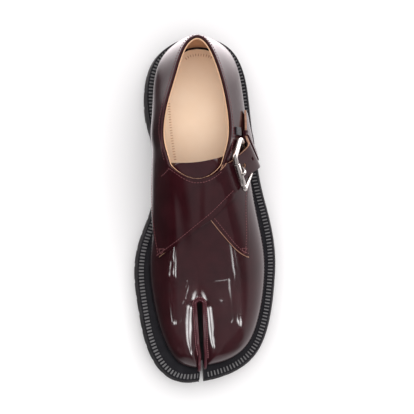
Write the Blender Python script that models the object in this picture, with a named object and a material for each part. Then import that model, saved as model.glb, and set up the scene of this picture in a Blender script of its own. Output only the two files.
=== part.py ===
# Tabi monk strap shoe, left foot: split toe upper on a lugged rubber sole, one strap with a roller buckle.
# Shoe axes in the tables, in millimetres: x to the outer side, s from heel to toe, z up from the floor.
# World axes: +X outer side, +Y heel, +Z up, with the origin under the middle of the shoe.
import math

import bmesh
import bpy
import numpy as np
from mathutils import Vector
from mathutils.bvhtree import BVHTree

# Driving dimensions
MM = 0.001
HEEL_BACK_Y = 143.61     # world Y of s = 0
CENTRE_X = 4.16          # x of the middle of the sole
GAP = 0.35               # clearance between pieces that touch
WALL = 2.0               # wall of the upper with its lining
QUARTER = 1.6            # leather of the quarters and the strap
WELT_T = 4.6             # welt strip
SOLE_STEP = 2.2          # how far the outsole stands out past the welt
LUG_DEPTH = 6.0
LUG_LENGTH = 10.5
LUG_SPACE = 3.2
LUG_WIDTH = 15.0
LUG_PROUD = 0.3          # how far the blocks stand out past the side of the tread
CENTRE_LUG_HALF = 6.0
HEEL_BREAST = 76.0       # s of the front of the heel block
TREAD_BACK = 136.0       # s of the back of the forefoot tread
INSOLE_T = 3.0
INSOLE_PLAY = 1.0        # room between the footbed and the wall of the upper
CLEFT_BACK = 3.0         # half of the gap between the toe lobes near its inner end
CLEFT_FRONT = 2.1        # half of that gap at the front
CLEFT_START = 9.65       # section index where the vamp divides
CLEFT_ROUND = 0.22       # sections over which the inner end opens
SLOT_SECTIONS = (12.2, 11.0, 10.2, 9.4)
THROAT = 6.0             # section index of the throat edge
LAST_SECTION = 13.0
BEAD_R = 1.35            # rolled seam along the cleft
BEAD_CLEAR = 0.6         # its room over the flats of the upper
BEAD_OUT = 0.4           # from the edge of the cleft to its middle line
BEAD_SECTIONS = (11.75, 11.35, 10.95, 10.5, 10.1)
BEAD_ROOT = 11.0         # its rays over the toe start this far behind the front of the cleft
REACH = 50.0             # length of the rays that find its place
RAY_STEP = 0.1
BAR_R = 1.5              # slim bars of the buckle, under the roller and at the hinge
SIDE_BAR_R = 2.2         # stout rear side and corners of the buckle
ROLLER_R = 2.6
ROLLER_REAR = 5.0        # from the rear corner of the frame to the roller
ROLLER_FRONT = 4.2       # from the front corner of the frame to the roller
HINGE_INSET = 5.0        # from the corners of the frame to the slim hinge bar
NECK = 0.4               # length over which a stout bar turns slim
FRAME_CORNER = 3.4
SLEEVE_R = 2.5           # root of the prong round the hinge bar
SLEEVE_HALF = 2.0        # half length of that root
PLAY = 0.3               # roller and prong turn on their bars
PRONG_R = 1.15
PRONG_AT = 0.56          # place of the prong along the hinge bar
PRONG_UNDER = 3.08       # strap station up to which the prong keeps under the strap
PRONG_RISE = 3.2         # how far before the roller the prong reaches its top
PRONG_TIP = 1.4          # how far past the top of the roller its tip lies
KEEPER_T = 1.5
KEEPER_HALF = 0.3        # half width of the keeper in strap stations
CHAPE_T = 1.2
N_OUTER = 9              # columns from feather to ridge
N_CROWN = 6              # columns from ridge to centre
CREST_SECTION = 12.2     # middle of the patch on each toe lobe that is eased round
CREST_EASE = 12.0        # radius of that patch
CREST_PASSES = 6

# Feather line, where the upper meets the welt: a row for each section from the heel to the cleft
# columns: section, outer x, outer s, inner x, inner s, outer welt width, inner welt width
FEATHER = (
    (0, -4.6, 9.2, -4.6, 9.2, 8.2, 8.2),
    (1, 13.6, 13.6, -22.0, 15.4, 8.0, 8.0),
    (2, 23.6, 24.2, -33.0, 27.4, 8.0, 8.0),
    (3, 28.8, 41.0, -37.2, 46.0, 8.0, 8.0),
    (4, 32.0, 67.0, -36.2, 69.0, 8.0, 7.4),
    (5, 35.2, 93.0, -32.8, 94.0, 8.0, 5.2),
    (6, 39.4, 123.0, -31.0, 121.0, 9.0, 4.6),
    (7, 45.4, 151.0, -33.4, 149.0, 10.4, 7.2),
    (8, 51.7, 179.8, -39.8, 173.7, 9.2, 9.6),
    (9, 52.0, 206.1, -42.0, 198.0, 8.3, 10.9),
    (10, 47.8, 232.3, -38.3, 225.2, 8.8, 11.4),
    (11, 37.7, 256.8, -30.8, 251.7, 9.5, 13.2),
    (12, 20.3, 269.5, -18.6, 271.0, 10.1, 13.3),
    (13, 2.8, 273.8, -2.2, 275.8, 11.1, 9.8),
)
# Topline: collar edge up to the throat, then the ridge of each toe lobe
# columns: section, outer x, outer s, outer z, inner x, inner s, inner z
TOPLINE = (
    (0, -6.2, 13.4, 98.0, -6.2, 13.4, 98.0),
    (1, 1.4, 19.0, 96.8, -14.4, 18.4, 97.2),
    (2, 7.2, 30.0, 93.8, -20.2, 31.0, 95.0),
    (3, 12.6, 45.0, 90.0, -25.2, 48.0, 92.0),
    (4, 17.6, 67.0, 86.6, -31.0, 69.0, 89.6),
    (5, 18.8, 91.0, 86.6, -32.8, 93.0, 89.6),
    (6, 12.8, 113.5, 92.6, -27.6, 113.5, 93.0),
    (7, 9.6, 142.0, 89.2, -23.4, 141.0, 89.0),
    (8, 13.8, 173.0, 78.2, -20.4, 171.0, 78.4),
    (9, 19.0, 202.0, 69.0, -20.0, 200.0, 69.0),
    (10, 22.0, 228.0, 64.2, -19.6, 227.0, 64.4),
    (11, 22.2, 243.0, 61.8, -18.8, 243.0, 62.0),
    (12, 20.9, 250.4, 60.0, -17.6, 250.8, 60.2),
    (13, 16.9, 256.8, 57.2, -14.2, 257.8, 57.4),
)
# Shape of each section: outward lean at the feather and closing angle at the top in degrees, and fullness
# columns: section, outer lean, inner lean, low fullness, high fullness, closing angle
SHAPE = (
    (0, 12, 12, 0.42, 0.30, 14),
    (1, 12, 12, 0.42, 0.30, 16),
    (2, 12, 12, 0.42, 0.32, 20),
    (3, 12, 12, 0.42, 0.32, 22),
    (4, 14, 18, 0.42, 0.34, 24),
    (5, 14, 36, 0.42, 0.36, 30),
    (6, 12, 42, 0.44, 0.44, 56),
    (7, 10, 34, 0.46, 0.52, 74),
    (8, 8, 18, 0.46, 0.54, 82),
    (9, 8, 9, 0.48, 0.54, 87),
    (10, 9, 9, 0.50, 0.56, 90),
    (11, 10, 10, 0.52, 0.58, 90),
    (12, 10, 10, 0.54, 0.58, 90),
    (13, 10, 10, 0.54, 0.58, 90),
)
# Centre line of the vamp from the throat, then the bottom of the valley between the lobes
# columns: section, x, s, z, dive angle in degrees
CENTRE = (
    (6, -7.2, 125.0, 97.6, 0),
    (7, -6.6, 150.0, 89.6, 0),
    (8, -5.2, 178.0, 77.8, 0),
    (9, -3.9, 206.0, 66.6, 12),
    (10, -2.6, 229.0, 58.6, 48),
    (11, -1.5, 246.5, 53.6, 58),
    (12, -0.5, 261.0, 48.4, 62),
    (13, 0.3, 273.5, 42.0, 66),
)
# Sole profile: columns s, top of the welt, underside
SOLE = (
    (0, 38.6, 0.0),
    (40, 38.2, 0.0),
    (76, 36.4, 0.0),
    (84, 35.6, 13.5),
    (105, 33.0, 12.0),
    (128, 30.0, 3.0),
    (136, 29.2, 0.0),
    (170, 27.2, 0.0),
    (204, 27.0, 0.0),
    (225, 27.8, 1.2),
    (250, 30.0, 4.2),
    (272, 32.8, 8.0),
    (295, 36.4, 12.8),
)
# Notch in the sole at the cleft, from its outer tip to its inner tip: columns x, s
NOTCH = (
    (2.2, 285.2),
    (1.3, 270.0),
    (-0.7, 270.0),
    (-1.6, 285.6),
)
# Tread blocks in the middle of the sole: columns x, s, half width
CENTRE_LUGS = (
    (-4.0, 34.0, 8.0),
    (-4.0, 56.0, 8.0),
    (4.0, 160.0, 15.0),
    (4.0, 178.0, 17.0),
    (4.0, 196.0, 17.0),
    (4.0, 214.0, 15.0),
    (4.0, 232.0, 12.0),
)

# Lower edge of the outer quarter: columns section, height share
LATERAL_LOW = (
    (0.0, 0.02),
    (4.3, 0.02),
    (5.2, 0.26),
    (5.8, 0.40),
    (6.55, 0.52),
    (7.65, 0.60),
    (8.32, 0.67),
)
# Curved front edge of the outer quarter seen from above: columns x, s
FACING = (
    (1.5, 152.7),
    (5.2, 157.0),
    (11.7, 164.5),
    (17.3, 171.0),
    (24.0, 178.4),
    (29.8, 183.0),
    (36.0, 185.4),
)
# Lower edge of the inner quarter: columns section, height share
MEDIAL_LOW = (
    (0.0, 0.02),
    (4.3, 0.02),
    (5.2, 0.20),
    (6.25, 0.28),
    (6.9, 0.32),
    (7.75, 0.43),
    (8.55, 0.56),
)
# Front edge of the strap across the instep seen from above: columns x, s
STRAP_FRONT = (
    (-37.0, 187.0),
    (-25.5, 179.0),
    (-15.0, 171.0),
    (-4.3, 162.2),
    (5.2, 154.4),
    (17.0, 142.8),
    (24.4, 135.4),
)
# Strap from the instep to its tail, as stations over the outer side of the upper
# columns: rear section and share, front section and share, height of its face over the upper, flatness
STRAP = (
    (6.00, 1.20, 6.69, 0.785, 5.1, 0.0),
    (5.94, 0.99, 6.60, 0.75, 5.1, 0.6),
    (5.83, 0.91, 6.49, 0.717, 5.0, 1.0),
    (5.53, 0.80, 6.08, 0.60, 7.3, 1.0),
    (5.25, 0.715, 5.80, 0.44, 10.8, 1.0),
    (5.05, 0.68, 5.62, 0.37, 9.0, 1.0),
    (4.85, 0.635, 5.42, 0.325, 6.6, 0.9),
    (4.55, 0.57, 5.02, 0.24, 5.6, 0.7),
    (4.25, 0.50, 4.58, 0.16, 5.0, 0.5),
    (3.98, 0.44, 4.22, 0.10, 4.6, 0.4),
)
# Hinge bar of the buckle under the strap, in the same columns
HINGE = (4.99, 0.79, 5.92, 0.494, 9.8, 1.0)
ROLLER_STATION = 2.0
ROLLER_BEYOND = 0.12     # share of the strap's width by which the bar passes each edge
KEEPER_STATION = 6.1
BRIDGE = STRAP[0][2]     # section where the front edge of the strap leaves the instep
FACING_START = 7.32      # section where the facing comes out from under the strap


def column(table, index):
    return np.array([row[index] for row in table], dtype=float)


def spline(knots, values, at):
    """Natural cubic spline through the rows of values at the knots."""
    knots = np.asarray(knots, float)
    values = np.asarray(values, float)
    flat = values.ndim == 1
    if flat:
        values = values[:, None]
    count = len(knots)
    step = np.diff(knots)
    matrix = np.eye(count)
    right = np.zeros_like(values)
    for i in range(1, count - 1):
        matrix[i, i - 1] = step[i - 1]
        matrix[i, i] = 2.0 * (step[i - 1] + step[i])
        matrix[i, i + 1] = step[i]
        right[i] = 6.0 * ((values[i + 1] - values[i]) / step[i] - (values[i] - values[i - 1]) / step[i - 1])
    bend = np.linalg.solve(matrix, right)
    at = np.atleast_1d(np.asarray(at, float))
    k = np.clip(np.searchsorted(knots, at, side="right") - 1, 0, count - 2)
    h = step[k][:, None]
    a = (knots[k + 1] - at)[:, None] / h
    b = (at - knots[k])[:, None] / h
    out = a * values[k] + b * values[k + 1]
    out = out + ((a ** 3 - a) * bend[k] + (b ** 3 - b) * bend[k + 1]) * h * h / 6.0
    return out[:, 0] if flat else out


def around(table, outer, inner):
    """Knots and values of a table taken round the shoe: inner side negative, outer side positive."""
    sections = column(table, 0)
    knots = np.concatenate([-sections[:0:-1], sections])
    values = np.concatenate([
        np.stack([column(table, i) for i in inner], 1)[:0:-1],
        np.stack([column(table, i) for i in outer], 1),
    ])
    return knots, values


FEATHER_RING = around(FEATHER, (1, 2, 5), (3, 4, 6))
TOP_RING = around(TOPLINE, (1, 2, 3), (4, 5, 6))
SHAPE_RING = around(SHAPE, (1, 3, 4, 5), (2, 3, 4, 5))


def welt_height(s):
    return np.interp(s, column(SOLE, 0), column(SOLE, 1))


def under_height(s):
    return np.interp(s, column(SOLE, 0), column(SOLE, 2))


def feather_plan(tau):
    """Plan point, outward plan normal and welt width on the feather line."""
    knots, values = FEATHER_RING
    plan = spline(knots, values, tau)
    ahead = spline(knots, values, np.asarray(tau) + 0.01)[:, :2]
    behind = spline(knots, values, np.asarray(tau) - 0.01)[:, :2]
    along = ahead - behind
    along /= np.linalg.norm(along, axis=1)[:, None]
    out = np.stack([along[:, 1], -along[:, 0]], 1)
    return plan[:, :2], out, plan[:, 2]


def plan_offset(tau, distance):
    plan, out, _ = feather_plan(tau)
    return plan + out * np.asarray(distance).reshape(-1, 1)


def bezier(p0, p1, p2, p3, v):
    v = np.asarray(v)[None, :, None]
    p0, p1, p2, p3 = (p[:, None, :] for p in (p0, p1, p2, p3))
    w = 1.0 - v
    return w ** 3 * p0 + 3 * w * w * v * p1 + 3 * w * v * v * p2 + v ** 3 * p3


def raised(plan, z):
    return np.concatenate([plan, np.asarray(z).reshape(-1, 1)], 1)


UP = np.array([0.0, 0.0, 1.0])


def section_ends(tau):
    """Feather point, topline point and the tangent with which a section reaches the topline."""
    plan, out, _ = feather_plan(tau)
    foot = raised(plan, welt_height(plan[:, 1]) + GAP)
    top = spline(TOP_RING[0], TOP_RING[1], tau)
    shape = spline(SHAPE_RING[0], SHAPE_RING[1], tau)
    inward = top - foot
    inward[:, 2] = 0.0
    reach = np.linalg.norm(inward, axis=1)
    inward /= np.maximum(reach, 1e-6)[:, None]
    close = np.radians(shape[:, 3])
    tangent = inward * np.sin(close)[:, None] + UP * np.cos(close)[:, None]
    return foot, top, raised(out, np.zeros(len(out))), shape, tangent, reach


def outer_sections(tau, v):
    """Side of the upper from the feather line to the topline."""
    foot, top, out, shape, tangent, reach = section_ends(tau)
    height = top[:, 2] - foot[:, 2]
    lean = np.radians(shape[:, 0])
    close = np.radians(shape[:, 3])
    start = out * np.sin(lean)[:, None] + UP * np.cos(lean)[:, None]
    length = np.hypot(height * np.cos(close), reach * np.sin(close))
    p1 = foot + start * (shape[:, 1] * height)[:, None]
    p2 = top - tangent * (shape[:, 2] * length)[:, None]
    return bezier(foot, p1, p2, top, v)


def cleft_half(t):
    """Half width of the cleft: closed and rounded at its inner end."""
    opening = np.sqrt(np.clip((t - CLEFT_START) / CLEFT_ROUND, 0.0, 1.0))
    forward = np.clip((t - CLEFT_START) / (LAST_SECTION - CLEFT_START), 0.0, 1.0)
    return (CLEFT_BACK + (CLEFT_FRONT - CLEFT_BACK) * forward) * opening


def crown_sections(t, side, v):
    """Top of the upper from the ridge to the centre line or to the edge of the cleft."""
    t = np.asarray(t, float)
    _, top, _, _, tangent, _ = section_ends(t * side)
    row = spline(column(CENTRE, 0), np.stack([column(CENTRE, i) for i in (1, 2, 3, 4)], 1), t)
    centre = row[:, :3].copy()
    centre[:, 0] += side * cleft_half(t)
    dive = np.radians(np.clip(row[:, 3], 0.0, 80.0))
    across = np.array([-side, 0.0, 0.0])
    reach = np.linalg.norm((centre - top)[:, :2], axis=1)
    ending = across * np.cos(dive)[:, None] - UP * np.sin(dive)[:, None]
    toward = (centre - top) * (1.0 - UP)
    toward /= np.linalg.norm(toward, axis=1)[:, None]
    turn = np.clip((t - 10.0) / 2.2, 0.0, 1.0)
    turn = (turn * turn * (3.0 - 2.0 * turn))[:, None]
    leaving = tangent * (1.0 - turn) + toward * turn
    leaving /= np.linalg.norm(leaving, axis=1)[:, None]
    p1 = top + leaving * (0.36 * reach)[:, None]
    scoop = np.clip(1.0 - (t - THROAT) / 1.5, 0.0, 1.0) ** 2
    p1[:, 1] += 0.62 * scoop * (centre - top)[:, 1]
    p2 = centre - ending * (0.36 * reach)[:, None]
    return bezier(top, p1, p2, centre, v)


def cleft_wall(edge, count):
    """Straight wall of the cleft from its edge down to the welt, in count steps."""
    floor = edge.copy()
    floor[:, 2] = welt_height(edge[:, 1]) + GAP
    v = np.linspace(0.0, 1.0, count + 1)[None, 1:, None]
    return edge[:, None, :] * (1 - v) + floor[:, None, :] * v


def world(point):
    return Vector(((point[0] - CENTRE_X) * MM, (HEEL_BACK_Y - point[1]) * MM, point[2] * MM))


def material(name, colour, roughness, metallic=0.0):
    mat = bpy.data.materials.new(name)
    mat.use_nodes = True
    bsdf = mat.node_tree.nodes["Principled BSDF"]
    bsdf.inputs["Base Color"].default_value = (*colour, 1.0)
    bsdf.inputs["Roughness"].default_value = roughness
    bsdf.inputs["Metallic"].default_value = metallic
    return mat


def new_object(name, mesh_data, mat):
    mesh = bpy.data.meshes.new(name)
    mesh_data.to_mesh(mesh)
    mesh_data.free()
    obj = bpy.data.objects.new(name, mesh)
    bpy.context.scene.collection.objects.link(obj)
    obj.data.materials.append(mat)
    return obj


def add_grid(bm, points, flip=False, leave=()):
    """Quads over a grid of points, but for the cells to leave; coinciding corners are welded later."""
    rows, cols = points.shape[:2]
    verts = [[bm.verts.new(world(points[r, c])) for c in range(cols)] for r in range(rows)]
    for r in range(rows - 1):
        for c in range(cols - 1):
            if (r, c) in leave:
                continue
            quad = [verts[r][c], verts[r + 1][c], verts[r + 1][c + 1], verts[r][c + 1]]
            bm.faces.new(quad[::-1] if flip else quad)


def weld(bm):
    bmesh.ops.remove_doubles(bm, verts=bm.verts, dist=0.01 * MM)
    bmesh.ops.dissolve_degenerate(bm, edges=bm.edges, dist=0.01 * MM)


def skin(obj, thickness):
    """Leather thickness laid inward from the modelled outer face."""
    solid = obj.modifiers.new("thickness", "SOLIDIFY")
    solid.thickness = thickness * MM
    solid.offset = -1.0
    solid.use_even_offset = True
    solid.use_quality_normals = True


def rows_between(*spans):
    """Section stations from (start, end, count) spans, with the last end added."""
    stations = [np.linspace(a, b, n, endpoint=False) for a, b, n in spans]
    return np.concatenate(stations + [[spans[-1][1]]])


BACK_ROWS = rows_between((0.0, 2.1, 6), (2.1, THROAT, 7))
VAMP_ROWS = rows_between((THROAT, CLEFT_START, 7))
CLEFT_OPEN = CLEFT_START + CLEFT_ROUND
TOE_ROWS = rows_between((CLEFT_START, CLEFT_OPEN, 3), (CLEFT_OPEN, 11.0, 2), (11.0, LAST_SECTION, 5))


def upper_surface():
    """Outer face of the upper as one open sheet."""
    bm = bmesh.new()
    v_side = np.linspace(0.0, 1.0, N_OUTER + 1)
    v_crown = np.linspace(0.0, 1.0, N_CROWN + 1)
    n_wall = N_OUTER - N_CROWN
    all_rows = np.concatenate([BACK_ROWS, VAMP_ROWS[1:], TOE_ROWS[1:]])
    for side in (1, -1):
        add_grid(bm, outer_sections(all_rows * side, v_side), flip=side > 0)
        add_grid(bm, crown_sections(VAMP_ROWS, side, v_crown), flip=side > 0)
        dome = crown_sections(TOE_ROWS, side, v_crown)
        inside = np.concatenate([dome, cleft_wall(dome[:, -1], n_wall)], axis=1)
        spoke = outer_sections(np.array([LAST_SECTION * side]), v_side)[:, ::-1]
        ease = np.clip((TOE_ROWS - 11.0) / (LAST_SECTION - 11.0), 0.0, 1.0)
        ease = (ease * ease * (3 - 2 * ease))[:, None, None]
        merge = np.where(TOE_ROWS == LAST_SECTION, 1.0, 0.0)[:, None, None]
        shift = spoke - inside[-1:]
        inside = inside + shift * np.maximum(ease, merge)
        add_grid(bm, inside, flip=side > 0)
    weld(bm)
    for side in (1, -1):
        crest = world(spline(TOP_RING[0], TOP_RING[1], CREST_SECTION * side)[0])
        patch = [v for v in bm.verts if (v.co - crest).length < CREST_EASE * MM]
        for _ in range(CREST_PASSES):
            bmesh.ops.smooth_vert(
                bm, verts=patch, factor=0.5, use_axis_x=True, use_axis_y=True, use_axis_z=True)
    return bm


def side_point(t, share, side):
    """Points of the upper at sections t and height shares, up the side and over the crown."""
    t = np.asarray(t, float)
    share = np.asarray(share, float)
    out = np.empty((len(t), 3))
    for i in range(len(t)):
        if share[i] > 1.0:
            out[i] = crown_sections(np.array([max(t[i], THROAT)]), side, np.array([share[i] - 1.0]))[0, 0]
        else:
            out[i] = outer_sections(np.array([t[i] * side]), np.array([max(share[i], 0.0)]))[0, 0]
    return out


def side_normal(t, share, side):
    """Outward normals at the same points."""
    share = np.asarray(share, float)
    t = np.where(share > 1.0, np.maximum(t, THROAT), t)
    step = 0.02
    low = np.where(share > 1.0, np.maximum(share - step, 1.001), np.maximum(share - step, 0.0))
    high = np.where(share > 1.0, np.minimum(share + step, 2.0), np.minimum(share + step, 1.0))
    back = np.where(share > 1.0, np.maximum(t - step, THROAT), t - step)
    up = side_point(t, high, side) - side_point(t, low, side)
    along = side_point(t + step, share, side) - side_point(back, share, side)
    normal = np.cross(up, along)
    normal /= np.linalg.norm(normal, axis=1)[:, None]
    place = side_point(t, share, side)
    heart = np.stack([np.full(len(t), -4.0), np.clip(place[:, 1], 60.0, 240.0), np.full(len(t), 45.0)], 1)
    away = place - heart
    return normal * np.where((normal * away).sum(1) < 0.0, -1.0, 1.0)[:, None]


def over(t, share, side, lift):
    """Points held off the upper by lift."""
    t = np.broadcast_to(np.asarray(t, float), np.shape(share))
    return side_point(t, share, side) + side_normal(t, share, side) * np.asarray(lift).reshape(-1, 1)


def eased(value):
    value = np.clip(value, 0.0, 1.0)
    return value * value * (3.0 - 2.0 * value)


def across_instep(t, share, lift):
    """Points of the strap panel: share 0 to 2 up the inner side, 2 to 4 down the outer side."""
    share = np.asarray(share, float)
    inner = over(t, np.minimum(share, 2.0), -1, lift)
    outer = over(t, np.minimum(4.0 - share, 2.0), 1, lift)
    return np.where((share > 2.0)[:, None], outer, inner)


PANEL_GAP = 0.85         # panels clear the flats of the upper
PANEL_LIFT = PANEL_GAP + QUARTER
TAB_LIFT = PANEL_LIFT + GAP + CHAPE_T
STRAP_COLUMNS = 6
PRONG_ROW = 5            # strap row that the prong passes through


def edge_share(shares, points, edge):
    """Share at which a row of points crosses an edge that is given seen from above."""
    ahead = points[:, 1] - np.interp(points[:, 0], column(edge, 0), column(edge, 1))
    for i in range(1, len(shares)):
        if ahead[i - 1] < 0.0 <= ahead[i]:
            mix = ahead[i - 1] / (ahead[i - 1] - ahead[i])
            return shares[i - 1] + mix * (shares[i] - shares[i - 1])
    return shares[0]


def lateral_quarter():
    """Outer face of the outer quarter."""
    bm = bmesh.new()
    last = LATERAL_LOW[-1][0]
    front_rows = rows_between((6.5, FACING_START, 2), (FACING_START, last, 7))
    rows = np.concatenate([[0.05], BACK_ROWS[1:], front_rows])
    grid = []

    def facing_share(t, low):
        shares = np.linspace(low, 1.6, 60)
        return edge_share(shares, side_point(np.full(60, t), shares, 1), FACING)

    for t in rows:
        low = np.interp(t, column(LATERAL_LOW, 0), column(LATERAL_LOW, 1))
        high = facing_share(max(t, FACING_START), low)
        if t < FACING_START:
            high = np.interp(t, (THROAT, FACING_START), (1.0, high))
        grid.append(over(t, np.linspace(low, high, 10), 1, PANEL_LIFT))
    add_grid(bm, np.array(grid), flip=True)
    weld(bm)
    return bm


def row_across(row, columns, extra=0.0, beyond=0.0):
    """Row of points over the outer side and its mean normal; beyond runs past both ends."""
    rear_t, rear_q, front_t, front_q, lift, flat = row
    flat = min(max(flat, 0.0), 1.0)
    u = np.linspace(-beyond, 1.0 + beyond, columns)
    t = rear_t + (front_t - rear_t) * u
    share = rear_q + (front_q - rear_q) * u
    follow = over(t, share, 1, lift + extra)
    normal = side_normal(t, share, 1).mean(0)
    normal /= np.linalg.norm(normal)
    chord = follow[0] + (follow[-1] - follow[0]) * np.linspace(0.0, 1.0, columns)[:, None]
    chord = chord + normal * max(((follow - chord) @ normal).max(), 0.0)
    return follow * (1.0 - flat) + chord * flat, normal


def strap_row(station, columns, extra=0.0, beyond=0.0):
    """Row of points across the strap at a station."""
    return row_across(spline(np.arange(len(STRAP)), np.array(STRAP), station)[0], columns, extra, beyond)


def medial_quarter_strap():
    """Outer face of the inner quarter with the strap over the instep and its tail."""
    bm = bmesh.new()
    quarter_rows = np.concatenate([[0.05], BACK_ROWS[1:]])
    bridge = np.linspace(THROAT, BRIDGE, STRAP_COLUMNS)
    panel_rows = np.concatenate([bridge, rows_between((6.95, MEDIAL_LOW[-1][0], 8))])
    bridge_share = (4.0 - STRAP[0][1], 4.0 - STRAP[0][3])

    def low_share(t):
        return np.interp(t, column(MEDIAL_LOW, 0), column(MEDIAL_LOW, 1))

    grid = [over(t, np.linspace(low_share(t), 1.0, 10), -1, PANEL_LIFT) for t in quarter_rows]
    add_grid(bm, np.array(grid))
    inner = []
    outer = []
    for t in panel_rows:
        low = low_share(t)
        front = np.interp(t, (THROAT, BRIDGE), bridge_share)
        if t > BRIDGE:
            shares = np.linspace(low, 3.4, 160)
            front = edge_share(shares, across_instep(t, shares, 0.0 * shares), STRAP_FRONT)
        split = min(1.0, low + 0.62 * (front - low))
        inner.append(over(t, np.linspace(low, split, 10), -1, PANEL_LIFT))
        share = np.linspace(split, front, 10)
        lift = PANEL_LIFT + (STRAP[0][4] - PANEL_LIFT) * eased((share - 2.0) / 0.5)
        outer.append(across_instep(t, share, lift))
    add_grid(bm, np.array(inner))
    add_grid(bm, np.array(outer))
    stations = np.concatenate([np.linspace(0.0, 6.0, 13), [6.8, 7.6, 8.3, 9.0]])
    strap = [strap_row(w, STRAP_COLUMNS)[0] for w in stations]
    strap[0] = np.array([row[-1] for row in outer[:STRAP_COLUMNS]])
    add_grid(bm, np.array(strap), flip=True, leave=((PRONG_ROW, STRAP_COLUMNS // 2 - 1),))
    weld(bm)
    return bm


def tongue_sheet():
    """Outer face of the tongue, held under the vamp and running back past the throat."""
    bm = bmesh.new()
    depth = -(WALL + PANEL_GAP)
    shares = np.concatenate([np.linspace(0.72, 1.0, 4), np.linspace(1.0, 2.0, 5)[1:]])
    rows = []
    for t in (7.4, 7.0, 6.6, 6.25, 6.02):
        outer = over(t, shares, 1, depth)
        inner = over(t, shares, -1, depth)
        rows.append(np.concatenate([outer, inner[-2::-1]]))
    throat = rows[-1]
    end = throat.copy()
    spread = (throat[:, 0] + 7.0) / 23.0
    end[:, 0] = -7.0 + 0.95 * (throat[:, 0] + 7.0)
    end[:, 1] = 108.5 - 2.6 * spread + 3.0 * (1.0 - spread ** 2)
    end[:, 2] -= 1.2 + 1.4 * spread ** 2
    rows.append(0.5 * (throat + end) + np.array([0.0, 0.0, 0.4]))
    rows.append(end)
    add_grid(bm, np.array(rows))
    weld(bm)
    return bm


def insole_outline():
    """Plan outline of the footbed inside the upper, with the slot that clears the cleft walls."""
    tau = np.concatenate([np.linspace(-12.5, 0.0, 34)[:-1], np.linspace(0.0, 12.5, 34)])
    ring = plan_offset(tau, np.full(len(tau), -(WALL + INSOLE_PLAY)))
    slot = []
    half = CLEFT_BACK + WALL + INSOLE_PLAY
    for side in (1, -1):
        for t in SLOT_SECTIONS[::side]:
            centre = spline(column(CENTRE, 0), np.stack([column(CENTRE, 1), column(CENTRE, 2)], 1), t)[0]
            slot.append((centre[0] + side * half, centre[1]))
    return np.concatenate([ring, np.array(slot)])


def all_round(count):
    """Sections round the shoe from the inner side of the cleft to its outer side."""
    outer = np.linspace(0.0, LAST_SECTION, count)
    return np.concatenate([-outer[:0:-1], outer])


def sole_outline(extra, count):
    """Plan outline of the sole at a distance beyond the welt, with the notch at the toe."""
    tau = all_round(count)
    _, _, width = feather_plan(tau)
    ring = plan_offset(tau, width + extra)
    notch = np.array(NOTCH)
    notch[[0, -1], 1] += extra
    return np.concatenate([ring, notch])


def plan_slab(bm, rings):
    """Closed slab from rings of (plan outline, height), lowest first."""
    loops = [[bm.verts.new((p[0], p[1], z)) for p in outline] for outline, z in rings]
    for low, high in zip(loops, loops[1:]):
        for i in range(len(low)):
            j = (i + 1) % len(low)
            bm.faces.new((low[i], low[j], high[j], high[i]))
    bm.faces.new(loops[0][::-1])
    bm.faces.new(loops[-1])
    bmesh.ops.recalc_face_normals(bm, faces=bm.faces)


def bend_to_sole(bm, lower, upper_edge, top_flat):
    """Cut a flat slab across, then carry it from plan to the heights of the sole."""
    for s in column(SOLE, 0)[1:-1]:
        geom = bm.verts[:] + bm.edges[:] + bm.faces[:]
        bmesh.ops.bisect_plane(bm, geom=geom, plane_co=(0.0, s, 0.0), plane_no=(0.0, 1.0, 0.0), dist=1e-4)
    for vert in bm.verts:
        x, s, z = vert.co
        low = lower(s)
        high = upper_edge(s)
        height = low + z if z <= 0.0 else low + (high - low) * z / top_flat
        vert.co = world((x, s, height))
    bmesh.ops.recalc_face_normals(bm, faces=bm.faces)


def lug_blocks(bm, top):
    """Tread blocks round the edge of heel and forefoot, and a few in the middle."""
    fine = all_round(400)
    _, _, width = feather_plan(fine)
    edge = plan_offset(fine, width + SOLE_STEP + LUG_PROUD)
    run = np.concatenate([[0.0], np.cumsum(np.linalg.norm(np.diff(edge, axis=0), axis=1))])
    pitch = LUG_LENGTH + LUG_SPACE
    count = int((run[-1] - LUG_SPACE) // pitch)
    first = (run[-1] - count * pitch + LUG_SPACE) / 2.0

    def block(outline):
        low = [bm.verts.new((p[0], p[1], -LUG_DEPTH)) for p in outline]
        high = [bm.verts.new((p[0], p[1], top)) for p in outline]
        for i in range(len(low)):
            j = (i + 1) % len(low)
            bm.faces.new((low[i], low[j], high[j], high[i]))
        bm.faces.new(low[::-1])
        bm.faces.new(high)

    for k in range(count):
        start = first + k * pitch
        tau = np.interp([start, start + LUG_LENGTH / 2, start + LUG_LENGTH], run, fine)
        _, _, w = feather_plan(tau)
        rim = plan_offset(tau, w + SOLE_STEP + LUG_PROUD)
        root = plan_offset(tau[[2, 0]], (w + SOLE_STEP)[[2, 0]] - LUG_WIDTH)
        reach = np.array([rim[:, 1].min(), rim[:, 1].max()])
        on_heel = reach[1] < HEEL_BREAST
        on_forefoot = reach[0] > TREAD_BACK
        if on_heel or on_forefoot:
            block(np.concatenate([rim, root]))
    for x, s, half in CENTRE_LUGS:
        near = s - CENTRE_LUG_HALF
        far = s + CENTRE_LUG_HALF
        block([(x - half, near), (x + half, near), (x + half, far), (x - half, far)])
    bmesh.ops.recalc_face_normals(bm, faces=bm.faces)


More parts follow.
